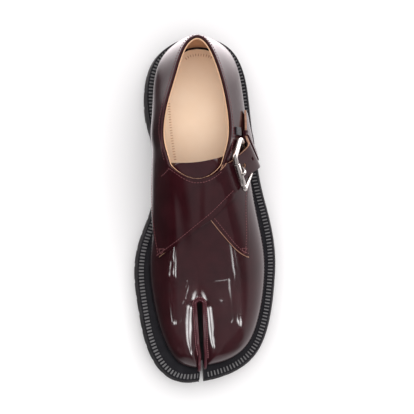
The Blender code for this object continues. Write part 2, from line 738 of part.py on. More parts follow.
def joined(name, base, added):
    """Union of two closed meshes as one mesh."""
    objs = []
    for part_name, part_bm in ((name, base), (name + "_added", added)):
        mesh = bpy.data.meshes.new(part_name)
        part_bm.to_mesh(mesh)
        part_bm.free()
        obj = bpy.data.objects.new(part_name, mesh)
        bpy.context.scene.collection.objects.link(obj)
        objs.append(obj)
    union = objs[0].modifiers.new("union", "BOOLEAN")
    union.operation = "UNION"
    union.solver = "EXACT"
    union.object = objs[1]
    bpy.context.view_layer.update()
    result = bmesh.new()
    result.from_mesh(objs[0].evaluated_get(bpy.context.evaluated_depsgraph_get()).to_mesh())
    for obj in objs:
        bpy.data.objects.remove(obj, do_unlink=True)
    return result


def frame_along(path, closed):
    """Tangents and carried normals of a polyline."""
    path = np.asarray(path, float)
    if closed:
        tangent = np.roll(path, -1, axis=0) - np.roll(path, 1, axis=0)
    else:
        tangent = np.gradient(path, axis=0)
    tangent /= np.linalg.norm(tangent, axis=1)[:, None]
    side = np.cross(tangent[0], UP if abs(tangent[0][2]) < 0.9 else np.array([1.0, 0.0, 0.0]))
    sides = []
    for direction in tangent:
        side = side - direction * (side @ direction)
        side = side / np.linalg.norm(side)
        sides.append(side)
    return tangent, np.array(sides)


def tube(bm, path, radius, count, closed=False):
    """Round bar along a path, capped when it is open."""
    path = np.asarray(path, float)
    tangent, side = frame_along(path, closed)
    lift = np.cross(tangent, side)
    angle = np.arange(count) * 2.0 * math.pi / count
    ring = side[:, None, :] * np.cos(angle)[None, :, None] + lift[:, None, :] * np.sin(angle)[None, :, None]
    points = path[:, None, :] + ring * np.broadcast_to(radius, len(path))[:, None, None]
    verts = [[bm.verts.new(world(p)) for p in row] for row in points]
    last = len(verts) if closed else len(verts) - 1
    for r in range(last):
        a, b = verts[r], verts[(r + 1) % len(verts)]
        for c in range(count):
            d = (c + 1) % count
            bm.faces.new((a[c], a[d], b[d], b[c]))
    if not closed:
        bm.faces.new(verts[0][::-1])
        bm.faces.new(verts[-1])
    bmesh.ops.recalc_face_normals(bm, faces=bm.faces)


def sleeve(bm, start, end, inner, outer, count):
    """Hollow round sleeve between two points."""
    path = np.array([start, end], float)
    tangent, side = frame_along(path, False)
    lift = np.cross(tangent, side)
    angle = np.arange(count) * 2.0 * math.pi / count
    loops = []
    for at, radius in ((0, inner), (0, outer), (1, outer), (1, inner)):
        ring = side[at] * np.cos(angle)[:, None] + lift[at] * np.sin(angle)[:, None]
        loops.append([bm.verts.new(world(p)) for p in path[at] + ring * radius])
    for k in range(4):
        a, b = loops[k], loops[(k + 1) % 4]
        for c in range(count):
            d = (c + 1) % count
            bm.faces.new((a[c], a[d], b[d], b[c]))
    bmesh.ops.recalc_face_normals(bm, faces=bm.faces)


def rounded_loop(corners, radius, steps):
    """Closed path through corner points with rounded corners."""
    path = []
    for i in range(len(corners)):
        here = corners[i]
        before = corners[i - 1] - here
        after = corners[(i + 1) % len(corners)] - here
        a = here + before / np.linalg.norm(before) * radius
        b = here + after / np.linalg.norm(after) * radius
        for v in np.linspace(0.0, 1.0, steps):
            path.append((1 - v) ** 2 * a + 2 * v * (1 - v) * here + v * v * b)
    return np.array(path)


def unit(vector):
    return vector / np.linalg.norm(vector)


def frame_bars(roller, hinge):
    """Path and radii of the buckle: stout sides and corners, slim bars for the roller and the prong."""
    corners = np.array([roller[0], roller[2], hinge[2], hinge[0]])
    bends = rounded_loop(corners, FRAME_CORNER, 5).reshape(4, 5, 3)
    stout = ((SIDE_BAR_R, SIDE_BAR_R), (SIDE_BAR_R, BAR_R), (BAR_R, BAR_R), (SIDE_BAR_R, SIDE_BAR_R))
    insets = ((ROLLER_REAR, ROLLER_FRONT), None, (HINGE_INSET, HINGE_INSET), None)
    path = []
    radii = []
    for i in range(4):
        path.extend(bends[i])
        radii.extend(np.linspace(*stout[i], len(bends[i])))
        if insets[i] is None:
            continue
        start = corners[i]
        end = corners[(i + 1) % 4]
        along = unit(end - start)
        first, last = insets[i]
        path.extend([start + along * (first - NECK), start + along * first])
        path.extend([end - along * last, end - along * (last - NECK)])
        radii.extend([stout[i][1], BAR_R, BAR_R, stout[(i + 1) % 4][0]])
    return np.array(path), np.array(radii)


def keeper_loop():
    """Inner face of the leather loop round the strap."""
    bm = bmesh.new()
    rings = []
    for station in np.linspace(KEEPER_STATION - KEEPER_HALF, KEEPER_STATION + KEEPER_HALF, 3):
        over_strap, _ = strap_row(station, 7, GAP + KEEPER_T, 0.10)
        under_strap, _ = strap_row(station, 7, -(QUARTER + GAP + KEEPER_T), 0.10)
        rings.append(np.concatenate([over_strap, under_strap[::-1], over_strap[:1]]))
    add_grid(bm, np.array(rings), flip=True)
    weld(bm)
    return bm


def elastic_patch():
    """Outer face of the elastic tab between the collar and the strap."""
    bm = bmesh.new()
    grid = [over(t, np.linspace(0.70, 0.85, 4), 1, TAB_LIFT) for t in np.linspace(4.60, 4.86, 4)]
    add_grid(bm, np.array(grid), flip=True)
    return bm


def rest_on(tree, base, direction, distance):
    """Place nearest to base along a direction that keeps a distance from the surface in the tree."""
    base = np.asarray(base, float)
    direction = unit(np.asarray(direction, float))
    place = base + direction * REACH
    for run in np.arange(REACH, 0.0, -RAY_STEP):
        trial = base + direction * run
        if tree.find_nearest(world(trial))[3] < distance * MM:
            break
        place = trial
    return place


def binding_path(tree):
    """Middle line of the rolled seam: up the front of one lobe, round the cleft, down the other."""
    distance = BEAD_R + BEAD_CLEAR
    knots = column(CENTRE, 0)
    plan = np.stack([column(CENTRE, 1), column(CENTRE, 2)], 1)
    start = spline(knots, plan, CLEFT_START)[0]
    front = spline(knots, plan, LAST_SECTION)[0]
    foot = welt_height(front[1]) + BEAD_R + 2.0 * GAP
    radius = CLEFT_BACK + BEAD_OUT
    turn = start[1] - BEAD_R - GAP + radius
    halves = []
    for side in (1, -1):
        half = []
        root = (front[0] + side * (CLEFT_FRONT + BEAD_OUT), front[1] - BEAD_ROOT, foot)
        for rise in np.radians((2.0, 20.0, 40.0, 62.0, 84.0)):
            half.append(rest_on(tree, root, (0.0, math.cos(rise), math.sin(rise)), distance))
        for t in BEAD_SECTIONS:
            x, s = spline(knots, plan, t)[0]
            out = float(cleft_half(t)) + BEAD_OUT
            half.append(rest_on(tree, (x + side * out, s, foot), UP, distance))
        for angle in np.radians((0.0, 35.0, 65.0)):
            place = (start[0] + side * radius * math.cos(angle), turn - radius * math.sin(angle), foot)
            half.append(rest_on(tree, place, UP, distance))
        halves.append(np.array(half))
    apex = rest_on(tree, (start[0], turn - radius, foot), UP, distance)
    return np.concatenate([halves[0], apex[None], halves[1][::-1]])


# Start clean
for old in list(bpy.data.objects):
    bpy.data.objects.remove(old, do_unlink=True)

RUBBER = material("black_rubber", (0.020, 0.019, 0.020), 0.55)
LEATHER = material("burgundy_leather", (0.085, 0.018, 0.026), 0.16)
BINDING = material("burgundy_binding", (0.17, 0.045, 0.055), 0.40)
NATURAL = material("natural_leather", (0.62, 0.40, 0.27), 0.60)
ELASTIC = material("dark_elastic", (0.05, 0.05, 0.055), 0.80)
STEEL = material("polished_steel", (0.72, 0.72, 0.74), 0.16, 1.0)

# Sole: tread unit with its side step, then the welt layer and the footbed
SLAB = 10.0
tread = bmesh.new()
plan_slab(tread, (
    (sole_outline(SOLE_STEP, 40), 0.0),
    (sole_outline(SOLE_STEP, 40), 0.62 * SLAB),
    (sole_outline(0.0, 40), 0.70 * SLAB),
    (sole_outline(0.0, 40), SLAB),
))
lugs = bmesh.new()
lug_blocks(lugs, 0.35 * SLAB)
sole_bm = joined("tread", tread, lugs)
bend_to_sole(sole_bm, lambda s: under_height(s) + LUG_DEPTH, lambda s: welt_height(s) - WELT_T - GAP, SLAB)
outsole = new_object("outsole", sole_bm, RUBBER)

welt_bm = bmesh.new()
plan_slab(welt_bm, (
    (sole_outline(-1.0, 46), 0.01),
    (sole_outline(0.0, 46), 0.25 * SLAB),
    (sole_outline(0.0, 46), 0.80 * SLAB),
    (sole_outline(-0.9, 46), SLAB),
))
bend_to_sole(welt_bm, lambda s: welt_height(s) - WELT_T, welt_height, SLAB)
welt = new_object("welt", welt_bm, RUBBER)

upper_bm = upper_surface()
upper_bm.normal_update()
upper_tree = BVHTree.FromBMesh(upper_bm)
upper = new_object("upper", upper_bm, LEATHER)
skin(upper, WALL)

quarter_lateral = new_object("quarter_lateral", lateral_quarter(), LEATHER)
skin(quarter_lateral, QUARTER)
quarter_medial_strap = new_object("quarter_medial_strap", medial_quarter_strap(), LEATHER)
skin(quarter_medial_strap, QUARTER)
tongue = new_object("tongue", tongue_sheet(), LEATHER)
skin(tongue, QUARTER)

insole_bm = bmesh.new()
plan_slab(insole_bm, ((insole_outline(), 0.01), (insole_outline(), SLAB)))
bend_to_sole(insole_bm, lambda s: welt_height(s) + GAP, lambda s: welt_height(s) + GAP + INSOLE_T, SLAB)
insole = new_object("insole", insole_bm, NATURAL)

# Buckle: frame, roller on its front bar and prong on its hinge bar
roller_line, roller_up = strap_row(ROLLER_STATION, 3, 0.0, ROLLER_BEYOND)
roller_line = roller_line + roller_up * (GAP + ROLLER_R)
hinge_line, hinge_up = row_across(HINGE, 3)
hinge_line = hinge_line - hinge_up * (QUARTER + GAP + SLEEVE_R)
along_roller = unit(roller_line[2] - roller_line[0])
along_hinge = unit(hinge_line[2] - hinge_line[0])
frame_bm = bmesh.new()
tube(frame_bm, *frame_bars(roller_line, hinge_line), 8, True)
buckle_frame = new_object("buckle_frame", frame_bm, STEEL)

roller_bm = bmesh.new()
roller_start = roller_line[0] + along_roller * (ROLLER_REAR + PLAY)
roller_end = roller_line[2] - along_roller * (ROLLER_FRONT + PLAY)
sleeve(roller_bm, roller_start, roller_end, BAR_R + PLAY, ROLLER_R, 12)
buckle_roller = new_object("buckle_roller", roller_bm, STEEL)

prong_root = hinge_line[0] + (hinge_line[2] - hinge_line[0]) * PRONG_AT
to_roller = unit(roller_line[1] - prong_root)
root_bm = bmesh.new()
root_start = prong_root - along_hinge * SLEEVE_HALF
root_end = prong_root + along_hinge * SLEEVE_HALF
sleeve(root_bm, root_start, root_end, BAR_R + PLAY, SLEEVE_R, 12)
hole_row, hole_up = strap_row(0.5 * PRONG_ROW + 0.25, 3)
under_row, _ = strap_row(PRONG_UNDER, 3, -(QUARTER + GAP + PRONG_R))
rest = roller_line[1] + roller_up * (ROLLER_R + GAP + PRONG_R)
prong_path = np.array([
    prong_root + unit(under_row[1] - prong_root) * (SLEEVE_R - PLAY),
    under_row[1],
    hole_row[1] - hole_up * (0.5 * QUARTER),
    rest - to_roller * PRONG_RISE,
    rest,
    rest + to_roller * PRONG_TIP - roller_up * (0.5 * PRONG_R),
])
prong_bm = bmesh.new()
tube(prong_bm, spline(np.arange(6), prong_path, np.linspace(0.0, 5.0, 15)), PRONG_R, 8)
buckle_prong = new_object("buckle_prong", joined("prong", root_bm, prong_bm), STEEL)

strap_keeper = new_object("strap_keeper", keeper_loop(), LEATHER)
skin(strap_keeper, KEEPER_T)
elastic_tab = new_object("elastic_tab", elastic_patch(), ELASTIC)
skin(elastic_tab, CHAPE_T)

bead_bm = bmesh.new()
bead_line = binding_path(upper_tree)
bead_path = spline(np.linspace(0.0, 1.0, len(bead_line)), bead_line, np.linspace(0.0, 1.0, 37))
tube(bead_bm, bead_path, BEAD_R, 6)
cleft_binding = new_object("cleft_binding", bead_bm, BINDING)
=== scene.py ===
# Tabi monk strap shoe, left foot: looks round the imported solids.
# Shoe axes in the tables, in millimetres: x to the outer side, s from heel to toe, z up from the floor.
import math

import bmesh
import bpy
import numpy as np
from mathutils import Matrix, Vector
from mathutils.bvhtree import BVHTree

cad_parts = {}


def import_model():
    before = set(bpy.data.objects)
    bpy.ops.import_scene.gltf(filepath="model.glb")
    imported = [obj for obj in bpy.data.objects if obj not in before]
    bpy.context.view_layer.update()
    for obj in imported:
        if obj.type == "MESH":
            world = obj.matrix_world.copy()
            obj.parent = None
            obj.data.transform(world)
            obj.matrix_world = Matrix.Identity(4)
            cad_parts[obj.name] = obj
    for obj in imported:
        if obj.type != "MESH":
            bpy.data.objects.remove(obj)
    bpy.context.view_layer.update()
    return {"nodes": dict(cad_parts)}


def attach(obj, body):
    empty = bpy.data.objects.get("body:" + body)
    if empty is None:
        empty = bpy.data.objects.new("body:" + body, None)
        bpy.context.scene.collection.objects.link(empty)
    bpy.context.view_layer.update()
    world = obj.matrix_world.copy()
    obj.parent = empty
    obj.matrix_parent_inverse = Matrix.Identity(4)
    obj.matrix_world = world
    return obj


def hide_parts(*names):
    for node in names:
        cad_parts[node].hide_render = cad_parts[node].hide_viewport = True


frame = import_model()
NODES = frame["nodes"]

# Sizes of the shoe, as in its solids
MM = 0.001
HEEL_BACK_Y = 143.61
CENTRE_X = 4.16
GAP = 0.35
WALL = 2.0
SHELL = 0.9
QUARTER = 1.6
WELT_T = 4.6
SOLE_STEP = 2.2
LUG_DEPTH = 6.0
LUG_LENGTH = 10.5
LUG_SPACE = 3.2
LUG_WIDTH = 15.0
LUG_PROUD = 0.3
CENTRE_LUG_HALF = 6.0
HEEL_BREAST = 76.0
TREAD_BACK = 136.0
INSOLE_T = 3.0
CLEFT_BACK = 3.0
CLEFT_FRONT = 2.1
CLEFT_START = 9.65
CLEFT_ROUND = 0.22
THROAT = 6.0
LAST_SECTION = 13.0
BEAD_R = 1.35
BEAD_CLEAR = 0.2
BEAD_OUT = 0.4
BEAD_SECTIONS = (11.75, 11.35, 10.95, 10.5, 10.1)
BEAD_ROOT = 11.0
REACH = 50.0
RAY_STEP = 0.05
BAR_R = 1.5
SIDE_BAR_R = 2.2
ROLLER_R = 2.6
ROLLER_REAR = 5.0
ROLLER_FRONT = 4.2
HINGE_INSET = 5.0
NECK = 0.4
FRAME_CORNER = 3.4
SLEEVE_R = 2.5
SLEEVE_HALF = 2.0
PLAY = 0.3
PRONG_R = 1.15
PRONG_AT = 0.56
PRONG_UNDER = 3.08
PRONG_HOLE = 2.75
PRONG_RISE = 3.2
PRONG_TIP = 1.4
KEEPER_T = 1.5
KEEPER_HALF = 0.3
CHAPE_T = 1.2
PANEL_GAP = 0.85
PANEL_LIFT = PANEL_GAP + QUARTER
TAB_LIFT = PANEL_LIFT + GAP + CHAPE_T

# Feather line: section, outer x, outer s, inner x, inner s, outer welt width, inner welt width
FEATHER = (
    (0, -4.6, 9.2, -4.6, 9.2, 8.2, 8.2),
    (1, 13.6, 13.6, -22.0, 15.4, 8.0, 8.0),
    (2, 23.6, 24.2, -33.0, 27.4, 8.0, 8.0),
    (3, 28.8, 41.0, -37.2, 46.0, 8.0, 8.0),
    (4, 32.0, 67.0, -36.2, 69.0, 8.0, 7.4),
    (5, 35.2, 93.0, -32.8, 94.0, 8.0, 5.2),
    (6, 39.4, 123.0, -31.0, 121.0, 9.0, 4.6),
    (7, 45.4, 151.0, -33.4, 149.0, 10.4, 7.2),
    (8, 51.7, 179.8, -39.8, 173.7, 9.2, 9.6),
    (9, 52.0, 206.1, -42.0, 198.0, 8.3, 10.9),
    (10, 47.8, 232.3, -38.3, 225.2, 8.8, 11.4),
    (11, 37.7, 256.8, -30.8, 251.7, 9.5, 13.2),
    (12, 20.3, 269.5, -18.6, 271.0, 10.1, 13.3),
    (13, 2.8, 273.8, -2.2, 275.8, 11.1, 9.8),
)
# Topline: section, outer x, outer s, outer z, inner x, inner s, inner z
TOPLINE = (
    (0, -6.2, 13.4, 98.0, -6.2, 13.4, 98.0),
    (1, 1.4, 19.0, 96.8, -14.4, 18.4, 97.2),
    (2, 7.2, 30.0, 93.8, -20.2, 31.0, 95.0),
    (3, 12.6, 45.0, 90.0, -25.2, 48.0, 92.0),
    (4, 17.6, 67.0, 86.6, -31.0, 69.0, 89.6),
    (5, 18.8, 91.0, 86.6, -32.8, 93.0, 89.6),
    (6, 12.8, 113.5, 92.6, -27.6, 113.5, 93.0),
    (7, 9.6, 142.0, 89.2, -23.4, 141.0, 89.0),
    (8, 13.8, 173.0, 78.2, -20.4, 171.0, 78.4),
    (9, 19.0, 202.0, 69.0, -20.0, 200.0, 69.0),
    (10, 22.0, 228.0, 64.2, -19.6, 227.0, 64.4),
    (11, 22.2, 243.0, 61.8, -18.8, 243.0, 62.0),
    (12, 20.9, 250.4, 60.0, -17.6, 250.8, 60.2),
    (13, 16.9, 256.8, 57.2, -14.2, 257.8, 57.4),
)
# Shape: section, outer lean, inner lean, low fullness, high fullness, closing angle
SHAPE = (
    (0, 12, 12, 0.42, 0.30, 14),
    (1, 12, 12, 0.42, 0.30, 16),
    (2, 12, 12, 0.42, 0.32, 20),
    (3, 12, 12, 0.42, 0.32, 22),
    (4, 14, 18, 0.42, 0.34, 24),
    (5, 14, 36, 0.42, 0.36, 30),
    (6, 12, 42, 0.44, 0.44, 56),
    (7, 10, 34, 0.46, 0.52, 74),
    (8, 8, 18, 0.46, 0.54, 82),
    (9, 8, 9, 0.48, 0.54, 87),
    (10, 9, 9, 0.50, 0.56, 90),
    (11, 10, 10, 0.52, 0.58, 90),
    (12, 10, 10, 0.54, 0.58, 90),
    (13, 10, 10, 0.54, 0.58, 90),
)
# Centre line: section, x, s, z, dive angle
CENTRE = (
    (6, -7.2, 125.0, 97.6, 0),
    (7, -6.6, 150.0, 89.6, 0),
    (8, -5.2, 178.0, 77.8, 0),
    (9, -3.9, 206.0, 66.6, 12),
    (10, -2.6, 229.0, 58.6, 48),
    (11, -1.5, 246.5, 53.6, 58),
    (12, -0.5, 261.0, 48.4, 62),
    (13, 0.3, 273.5, 42.0, 66),
)
# Sole profile: s, top of the welt, underside
SOLE = (
    (0, 38.6, 0.0),
    (40, 38.2, 0.0),
    (76, 36.4, 0.0),
    (84, 35.6, 13.5),
    (105, 33.0, 12.0),
    (128, 30.0, 3.0),
    (136, 29.2, 0.0),
    (170, 27.2, 0.0),
    (204, 27.0, 0.0),
    (225, 27.8, 1.2),
    (250, 30.0, 4.2),
    (272, 32.8, 8.0),
    (295, 36.4, 12.8),
)
# Notch in the sole at the cleft: x, s
NOTCH = ((2.2, 285.2), (1.3, 270.0), (-0.7, 270.0), (-1.6, 285.6))
# Tread blocks in the middle of the sole: x, s, half width
CENTRE_LUGS = (
    (-4.0, 34.0, 8.0), (-4.0, 56.0, 8.0), (4.0, 160.0, 15.0), (4.0, 178.0, 17.0),
    (4.0, 196.0, 17.0), (4.0, 214.0, 15.0), (4.0, 232.0, 12.0),
)
# Lower edges of the quarters: section, height share
LATERAL_LOW = ((0.0, 0.02), (4.3, 0.02), (5.2, 0.26), (5.8, 0.40), (6.55, 0.52), (7.65, 0.60), (8.32, 0.67))
MEDIAL_LOW = ((0.0, 0.02), (4.3, 0.02), (5.2, 0.20), (6.25, 0.28), (6.9, 0.32), (7.75, 0.43), (8.55, 0.56))
# Front edges of the outer quarter and of the strap, seen from above: x, s
FACING = (
    (1.5, 152.7), (5.2, 157.0), (11.7, 164.5), (17.3, 171.0), (24.0, 178.4), (29.8, 183.0), (36.0, 185.4),
)
STRAP_FRONT = (
    (-37.0, 187.0), (-25.5, 179.0), (-15.0, 171.0), (-4.3, 162.2),
    (5.2, 154.4), (17.0, 142.8), (24.4, 135.4),
)
# Strap stations: rear section and share, front section and share, height over the upper, flatness
STRAP = (
    (6.00, 1.20, 6.69, 0.785, 5.1, 0.0),
    (5.94, 0.99, 6.60, 0.75, 5.1, 0.6),
    (5.83, 0.91, 6.49, 0.717, 5.0, 1.0),
    (5.53, 0.80, 6.08, 0.60, 7.3, 1.0),
    (5.25, 0.715, 5.80, 0.44, 10.8, 1.0),
    (5.05, 0.68, 5.62, 0.37, 9.0, 1.0),
    (4.85, 0.635, 5.42, 0.325, 6.6, 0.9),
    (4.55, 0.57, 5.02, 0.24, 5.6, 0.7),
    (4.25, 0.50, 4.58, 0.16, 5.0, 0.5),
    (3.98, 0.44, 4.22, 0.10, 4.6, 0.4),
)
# Row of the buckle's hinge bar, in the same terms
HINGE = (4.99, 0.79, 5.92, 0.494, 9.8, 1.0)
# Stations of the roller and of the keeper along the strap, and the roller's reach past its edges
ROLLER_STATION = 2.0
ROLLER_BEYOND = 0.12
KEEPER_STATION = 6.1
BRIDGE = STRAP[0][2]
FACING_START = 7.32
# Sections at which the rows of the heel and of the toe change their spacing
HEEL_TURN = 2.1
TOE_TURN = 11.0
# Easing of the tables' corners: along the welt, along the underside, along the quarters' lower edges
WELT_EASE = 7.0
UNDER_EASE = 1.5
LOW_EASE = 0.25
# Crown: reach of its handles, steepest dive, sections over which it turns to the cleft, throat's scoop
CROWN_PULL = 0.36
DIVE_LIMIT = 80.0
TURN_FROM = 10.0
TURN_OVER = 2.2
SCOOP_OVER = 1.5
SCOOP_PULL = 0.06
SCOOP_FORWARD = 0.80
# Steps for slopes, and the line inside the shoe that normals point away from: x, height, range of s
RING_STEP = 0.01
SLOPE_STEP = 0.02
HEART_X = -4.0
HEART_Z = 45.0
HEART_RUN = (60.0, 240.0)
UP = np.array([0.0, 0.0, 1.0])


def column(table, index):
    return np.array([row[index] for row in table], dtype=float)


def unit(vector):
    """Vector, or each row of vectors, at length one."""
    return vector / np.linalg.norm(vector, axis=-1, keepdims=True)


def beside(along):
    """Plan directions turned a quarter to the right."""
    return np.stack([along[..., 1], -along[..., 0]], -1)


def sampled(at, run, rows):
    """Rows of values, read off at places along their run."""
    return np.stack([np.interp(at, run, rows[:, i]) for i in range(rows.shape[1])], -1)


def run_along(path):
    """Distance along a path at each of its points."""
    return np.concatenate([[0.0], np.cumsum(np.linalg.norm(np.diff(path, axis=0), axis=1))])


class Curve:
    """Natural cubic spline through rows of values at the knots."""

    def __init__(self, knots, values):
        self.knots = np.asarray(knots, float)
        self.values = np.asarray(values, float)
        count = len(self.knots)
        step = np.diff(self.knots)
        matrix = np.eye(count)
        right = np.zeros_like(self.values)
        for i in range(1, count - 1):
            matrix[i, i - 1] = step[i - 1]
            matrix[i, i] = 2.0 * (step[i - 1] + step[i])
            matrix[i, i + 1] = step[i]
            ahead = (self.values[i + 1] - self.values[i]) / step[i]
            behind = (self.values[i] - self.values[i - 1]) / step[i - 1]
            right[i] = 6.0 * (ahead - behind)
        self.bend = np.linalg.solve(matrix, right)
        self.step = step

    def __call__(self, at):
        at = np.atleast_1d(np.asarray(at, float))
        k = np.clip(np.searchsorted(self.knots, at, side="right") - 1, 0, len(self.knots) - 2)
        shape = (len(at),) + (1,) * (self.values.ndim - 1)
        h = self.step[k].reshape(shape)
        a = (self.knots[k + 1] - at).reshape(shape) / h
        b = (at - self.knots[k]).reshape(shape) / h
        flat = a * self.values[k] + b * self.values[k + 1]
        return flat + ((a ** 3 - a) * self.bend[k] + (b ** 3 - b) * self.bend[k + 1]) * h * h / 6.0


def around(table, outer, inner):
    sections = column(table, 0)
    knots = np.concatenate([-sections[:0:-1], sections])
    values = np.concatenate([
        np.stack([column(table, i) for i in inner], 1)[:0:-1],
        np.stack([column(table, i) for i in outer], 1),
    ])
    return Curve(knots, values)


FEATHER_RING = around(FEATHER, (1, 2, 5), (3, 4, 6))
TOP_RING = around(TOPLINE, (1, 2, 3), (4, 5, 6))
SHAPE_RING = around(SHAPE, (1, 3, 4, 5), (2, 3, 4, 5))
CENTRE_LINE = Curve(column(CENTRE, 0), np.stack([column(CENTRE, i) for i in (1, 2, 3, 4)], 1))
STRAP_LINE = Curve(np.arange(len(STRAP)), np.array(STRAP))


def softened(at, knots, values, half):
    """Straight-line table with its corners rounded over half a width each way."""
    at = np.asarray(at, float)
    return np.mean([np.interp(at + d, knots, values) for d in np.linspace(-half, half, 9)], axis=0)


def welt_height(s):
    return softened(s, column(SOLE, 0), column(SOLE, 1), WELT_EASE)


def under_height(s):
    return softened(s, column(SOLE, 0), column(SOLE, 2), UNDER_EASE)


def low_share(t, table):
    return softened(t, column(table, 0), column(table, 1), LOW_EASE)


def feather_plan(tau):
    tau = np.atleast_1d(np.asarray(tau, float))
    plan = FEATHER_RING(tau)
    along = unit((FEATHER_RING(tau + RING_STEP) - FEATHER_RING(tau - RING_STEP))[:, :2])
    return plan[:, :2], beside(along), plan[:, 2]


def outside_welt(tau, extra):
    """Plan line at an extra width outside the edge of the welt."""
    plan, out, width = feather_plan(tau)
    return plan + out * np.reshape(width + extra, (-1, 1))


def raised(plan, z):
    z = np.broadcast_to(np.asarray(z, float).reshape(-1, 1), (len(plan), 1))
    return np.concatenate([plan, z], 1)


def section_ends(tau):
    plan, out, _ = feather_plan(tau)
    foot = raised(plan, welt_height(plan[:, 1]) + GAP)
    top = TOP_RING(tau)
    shape = SHAPE_RING(tau)
    inward = (top - foot) * (1.0 - UP)
    reach = np.linalg.norm(inward, axis=1)
    inward /= np.maximum(reach, 1e-6)[:, None]
    close = np.radians(shape[:, 3])
    tangent = inward * np.sin(close)[:, None] + UP * np.cos(close)[:, None]
    return foot, top, raised(out, 0.0), shape, tangent, reach


def side_controls(tau):
    """Control points of a side section, from the feather line to the topline."""
    foot, top, out, shape, tangent, reach = section_ends(tau)
    height = top[:, 2] - foot[:, 2]
    lean = np.radians(shape[:, 0])
    close = np.radians(shape[:, 3])
    start = out * np.sin(lean)[:, None] + UP * np.cos(lean)[:, None]
    length = np.hypot(height * np.cos(close), reach * np.sin(close))
    p1 = foot + start * (shape[:, 1] * height)[:, None]
    p2 = top - tangent * (shape[:, 2] * length)[:, None]
    return foot, p1, p2, top


def cleft_half(t):
    opening = np.sqrt(np.clip((t - CLEFT_START) / CLEFT_ROUND, 0.0, 1.0))
    forward = np.clip((t - CLEFT_START) / (LAST_SECTION - CLEFT_START), 0.0, 1.0)
    return (CLEFT_BACK + (CLEFT_FRONT - CLEFT_BACK) * forward) * opening


def eased(value):
    value = np.clip(value, 0.0, 1.0)
    return value * value * (3.0 - 2.0 * value)


def crown_controls(t, side):
    """Control points from the ridge to the centre line or to the edge of the cleft."""
    t = np.atleast_1d(np.asarray(t, float))
    _, top, _, _, tangent, _ = section_ends(t * side)
    row = CENTRE_LINE(t)
    centre = row[:, :3].copy()
    centre[:, 0] += side * cleft_half(t)
    dive = np.radians(np.clip(row[:, 3], 0.0, DIVE_LIMIT))
    reach = np.linalg.norm((centre - top)[:, :2], axis=1)
    ending = np.array([-side, 0.0, 0.0]) * np.cos(dive)[:, None] - UP * np.sin(dive)[:, None]
    toward = unit((centre - top) * (1.0 - UP))
    turn = eased((t - TURN_FROM) / TURN_OVER)[:, None]
    leaving = unit(tangent * (1.0 - turn) + toward * turn)
    scoop = np.clip(1.0 - (t - THROAT) / SCOOP_OVER, 0.0, 1.0) ** 2
    p1 = top + leaving * ((CROWN_PULL - SCOOP_PULL * scoop) * reach)[:, None]
    p1[:, 1] += SCOOP_FORWARD * scoop * (centre - top)[:, 1]
    p2 = centre - ending * (CROWN_PULL * reach)[:, None]
    return top, p1, p2, centre


def on_bezier(controls, v):
    """Point of each row's curve at its own v."""
    v = np.asarray(v, float).reshape(-1, 1)
    w = 1.0 - v
    p0, p1, p2, p3 = controls
    return w ** 3 * p0 + 3 * w * w * v * p1 + 3 * w * v * v * p2 + v ** 3 * p3


def bezier_rows(controls, v):
    """Points of each row's curve at all of v."""
    return np.stack([on_bezier(controls, np.full(len(controls[0]), x)) for x in v], 1)


def as_rows(t, share):
    share = np.atleast_1d(np.asarray(share, float))
    return np.broadcast_to(np.asarray(t, float), share.shape), share


def side_point(t, share, side):
    t, share = as_rows(t, share)
    low = on_bezier(side_controls(t * side), np.clip(share, 0.0, 1.0))
    if not (share > 1.0).any():
        return low
    high = on_bezier(crown_controls(np.maximum(t, THROAT), side), np.clip(share - 1.0, 0.0, 1.0))
    return np.where((share > 1.0)[:, None], high, low)


def side_normal(t, share, side):
    t, share = as_rows(t, share)
    on_top = share > 1.0
    t = np.where(on_top, np.maximum(t, THROAT), t)
    low = np.maximum(share - SLOPE_STEP, np.where(on_top, 1.001, 0.0))
    high = np.minimum(share + SLOPE_STEP, np.where(on_top, 2.0, 1.0))
    back = np.where(on_top, np.maximum(t - SLOPE_STEP, THROAT), t - SLOPE_STEP)
    up = side_point(t, high, side) - side_point(t, low, side)
    along = side_point(t + SLOPE_STEP, share, side) - side_point(back, share, side)
    normal = unit(np.cross(up, along))
    away = side_point(t, share, side)
    away = away - np.stack(np.broadcast_arrays(HEART_X, np.clip(away[:, 1], *HEART_RUN), HEART_Z), 1)
    return normal * np.where((normal * away).sum(1) < 0.0, -1.0, 1.0)[:, None]


def over(t, share, side, lift):
    lift, share = as_rows(lift, share)
    return side_point(t, share, side) + side_normal(t, share, side) * lift[:, None]


def across_instep(t, share, lift):
    share = np.asarray(share, float)
    inner = over(t, np.minimum(share, 2.0), -1, lift)
    outer = over(t, np.minimum(4.0 - share, 2.0), 1, lift)
    return np.where((share > 2.0)[:, None], outer, inner)


def world(point):
    return Vector(((point[0] - CENTRE_X) * MM, (HEEL_BACK_Y - point[1]) * MM, point[2] * MM))


def shoe(place):
    return np.array((place.x / MM + CENTRE_X, HEEL_BACK_Y - place.y / MM, place.z / MM))


# Meshes
def placed(bm, points):
    return [bm.verts.new(world(point)) for point in points]


def skin(bm, loops, ring=False, caps=True, tone=None):
    """Faces between closed loops of vertices; a ring joins last to first, else caps close the ends."""
    for r, (a, b) in enumerate(zip(loops, loops[1:] + loops[:1] if ring else loops[1:])):
        for c in range(len(a)):
            d = (c + 1) % len(a)
            face = bm.faces.new((a[c], a[d], b[d], b[c]))
            if tone:
                face.material_index = tone(r, c, d)
    if caps and not ring:
        bm.faces.new(loops[0][::-1])
        bm.faces.new(loops[-1])


def face_outward(bm):
    bmesh.ops.recalc_face_normals(bm, faces=bm.faces)


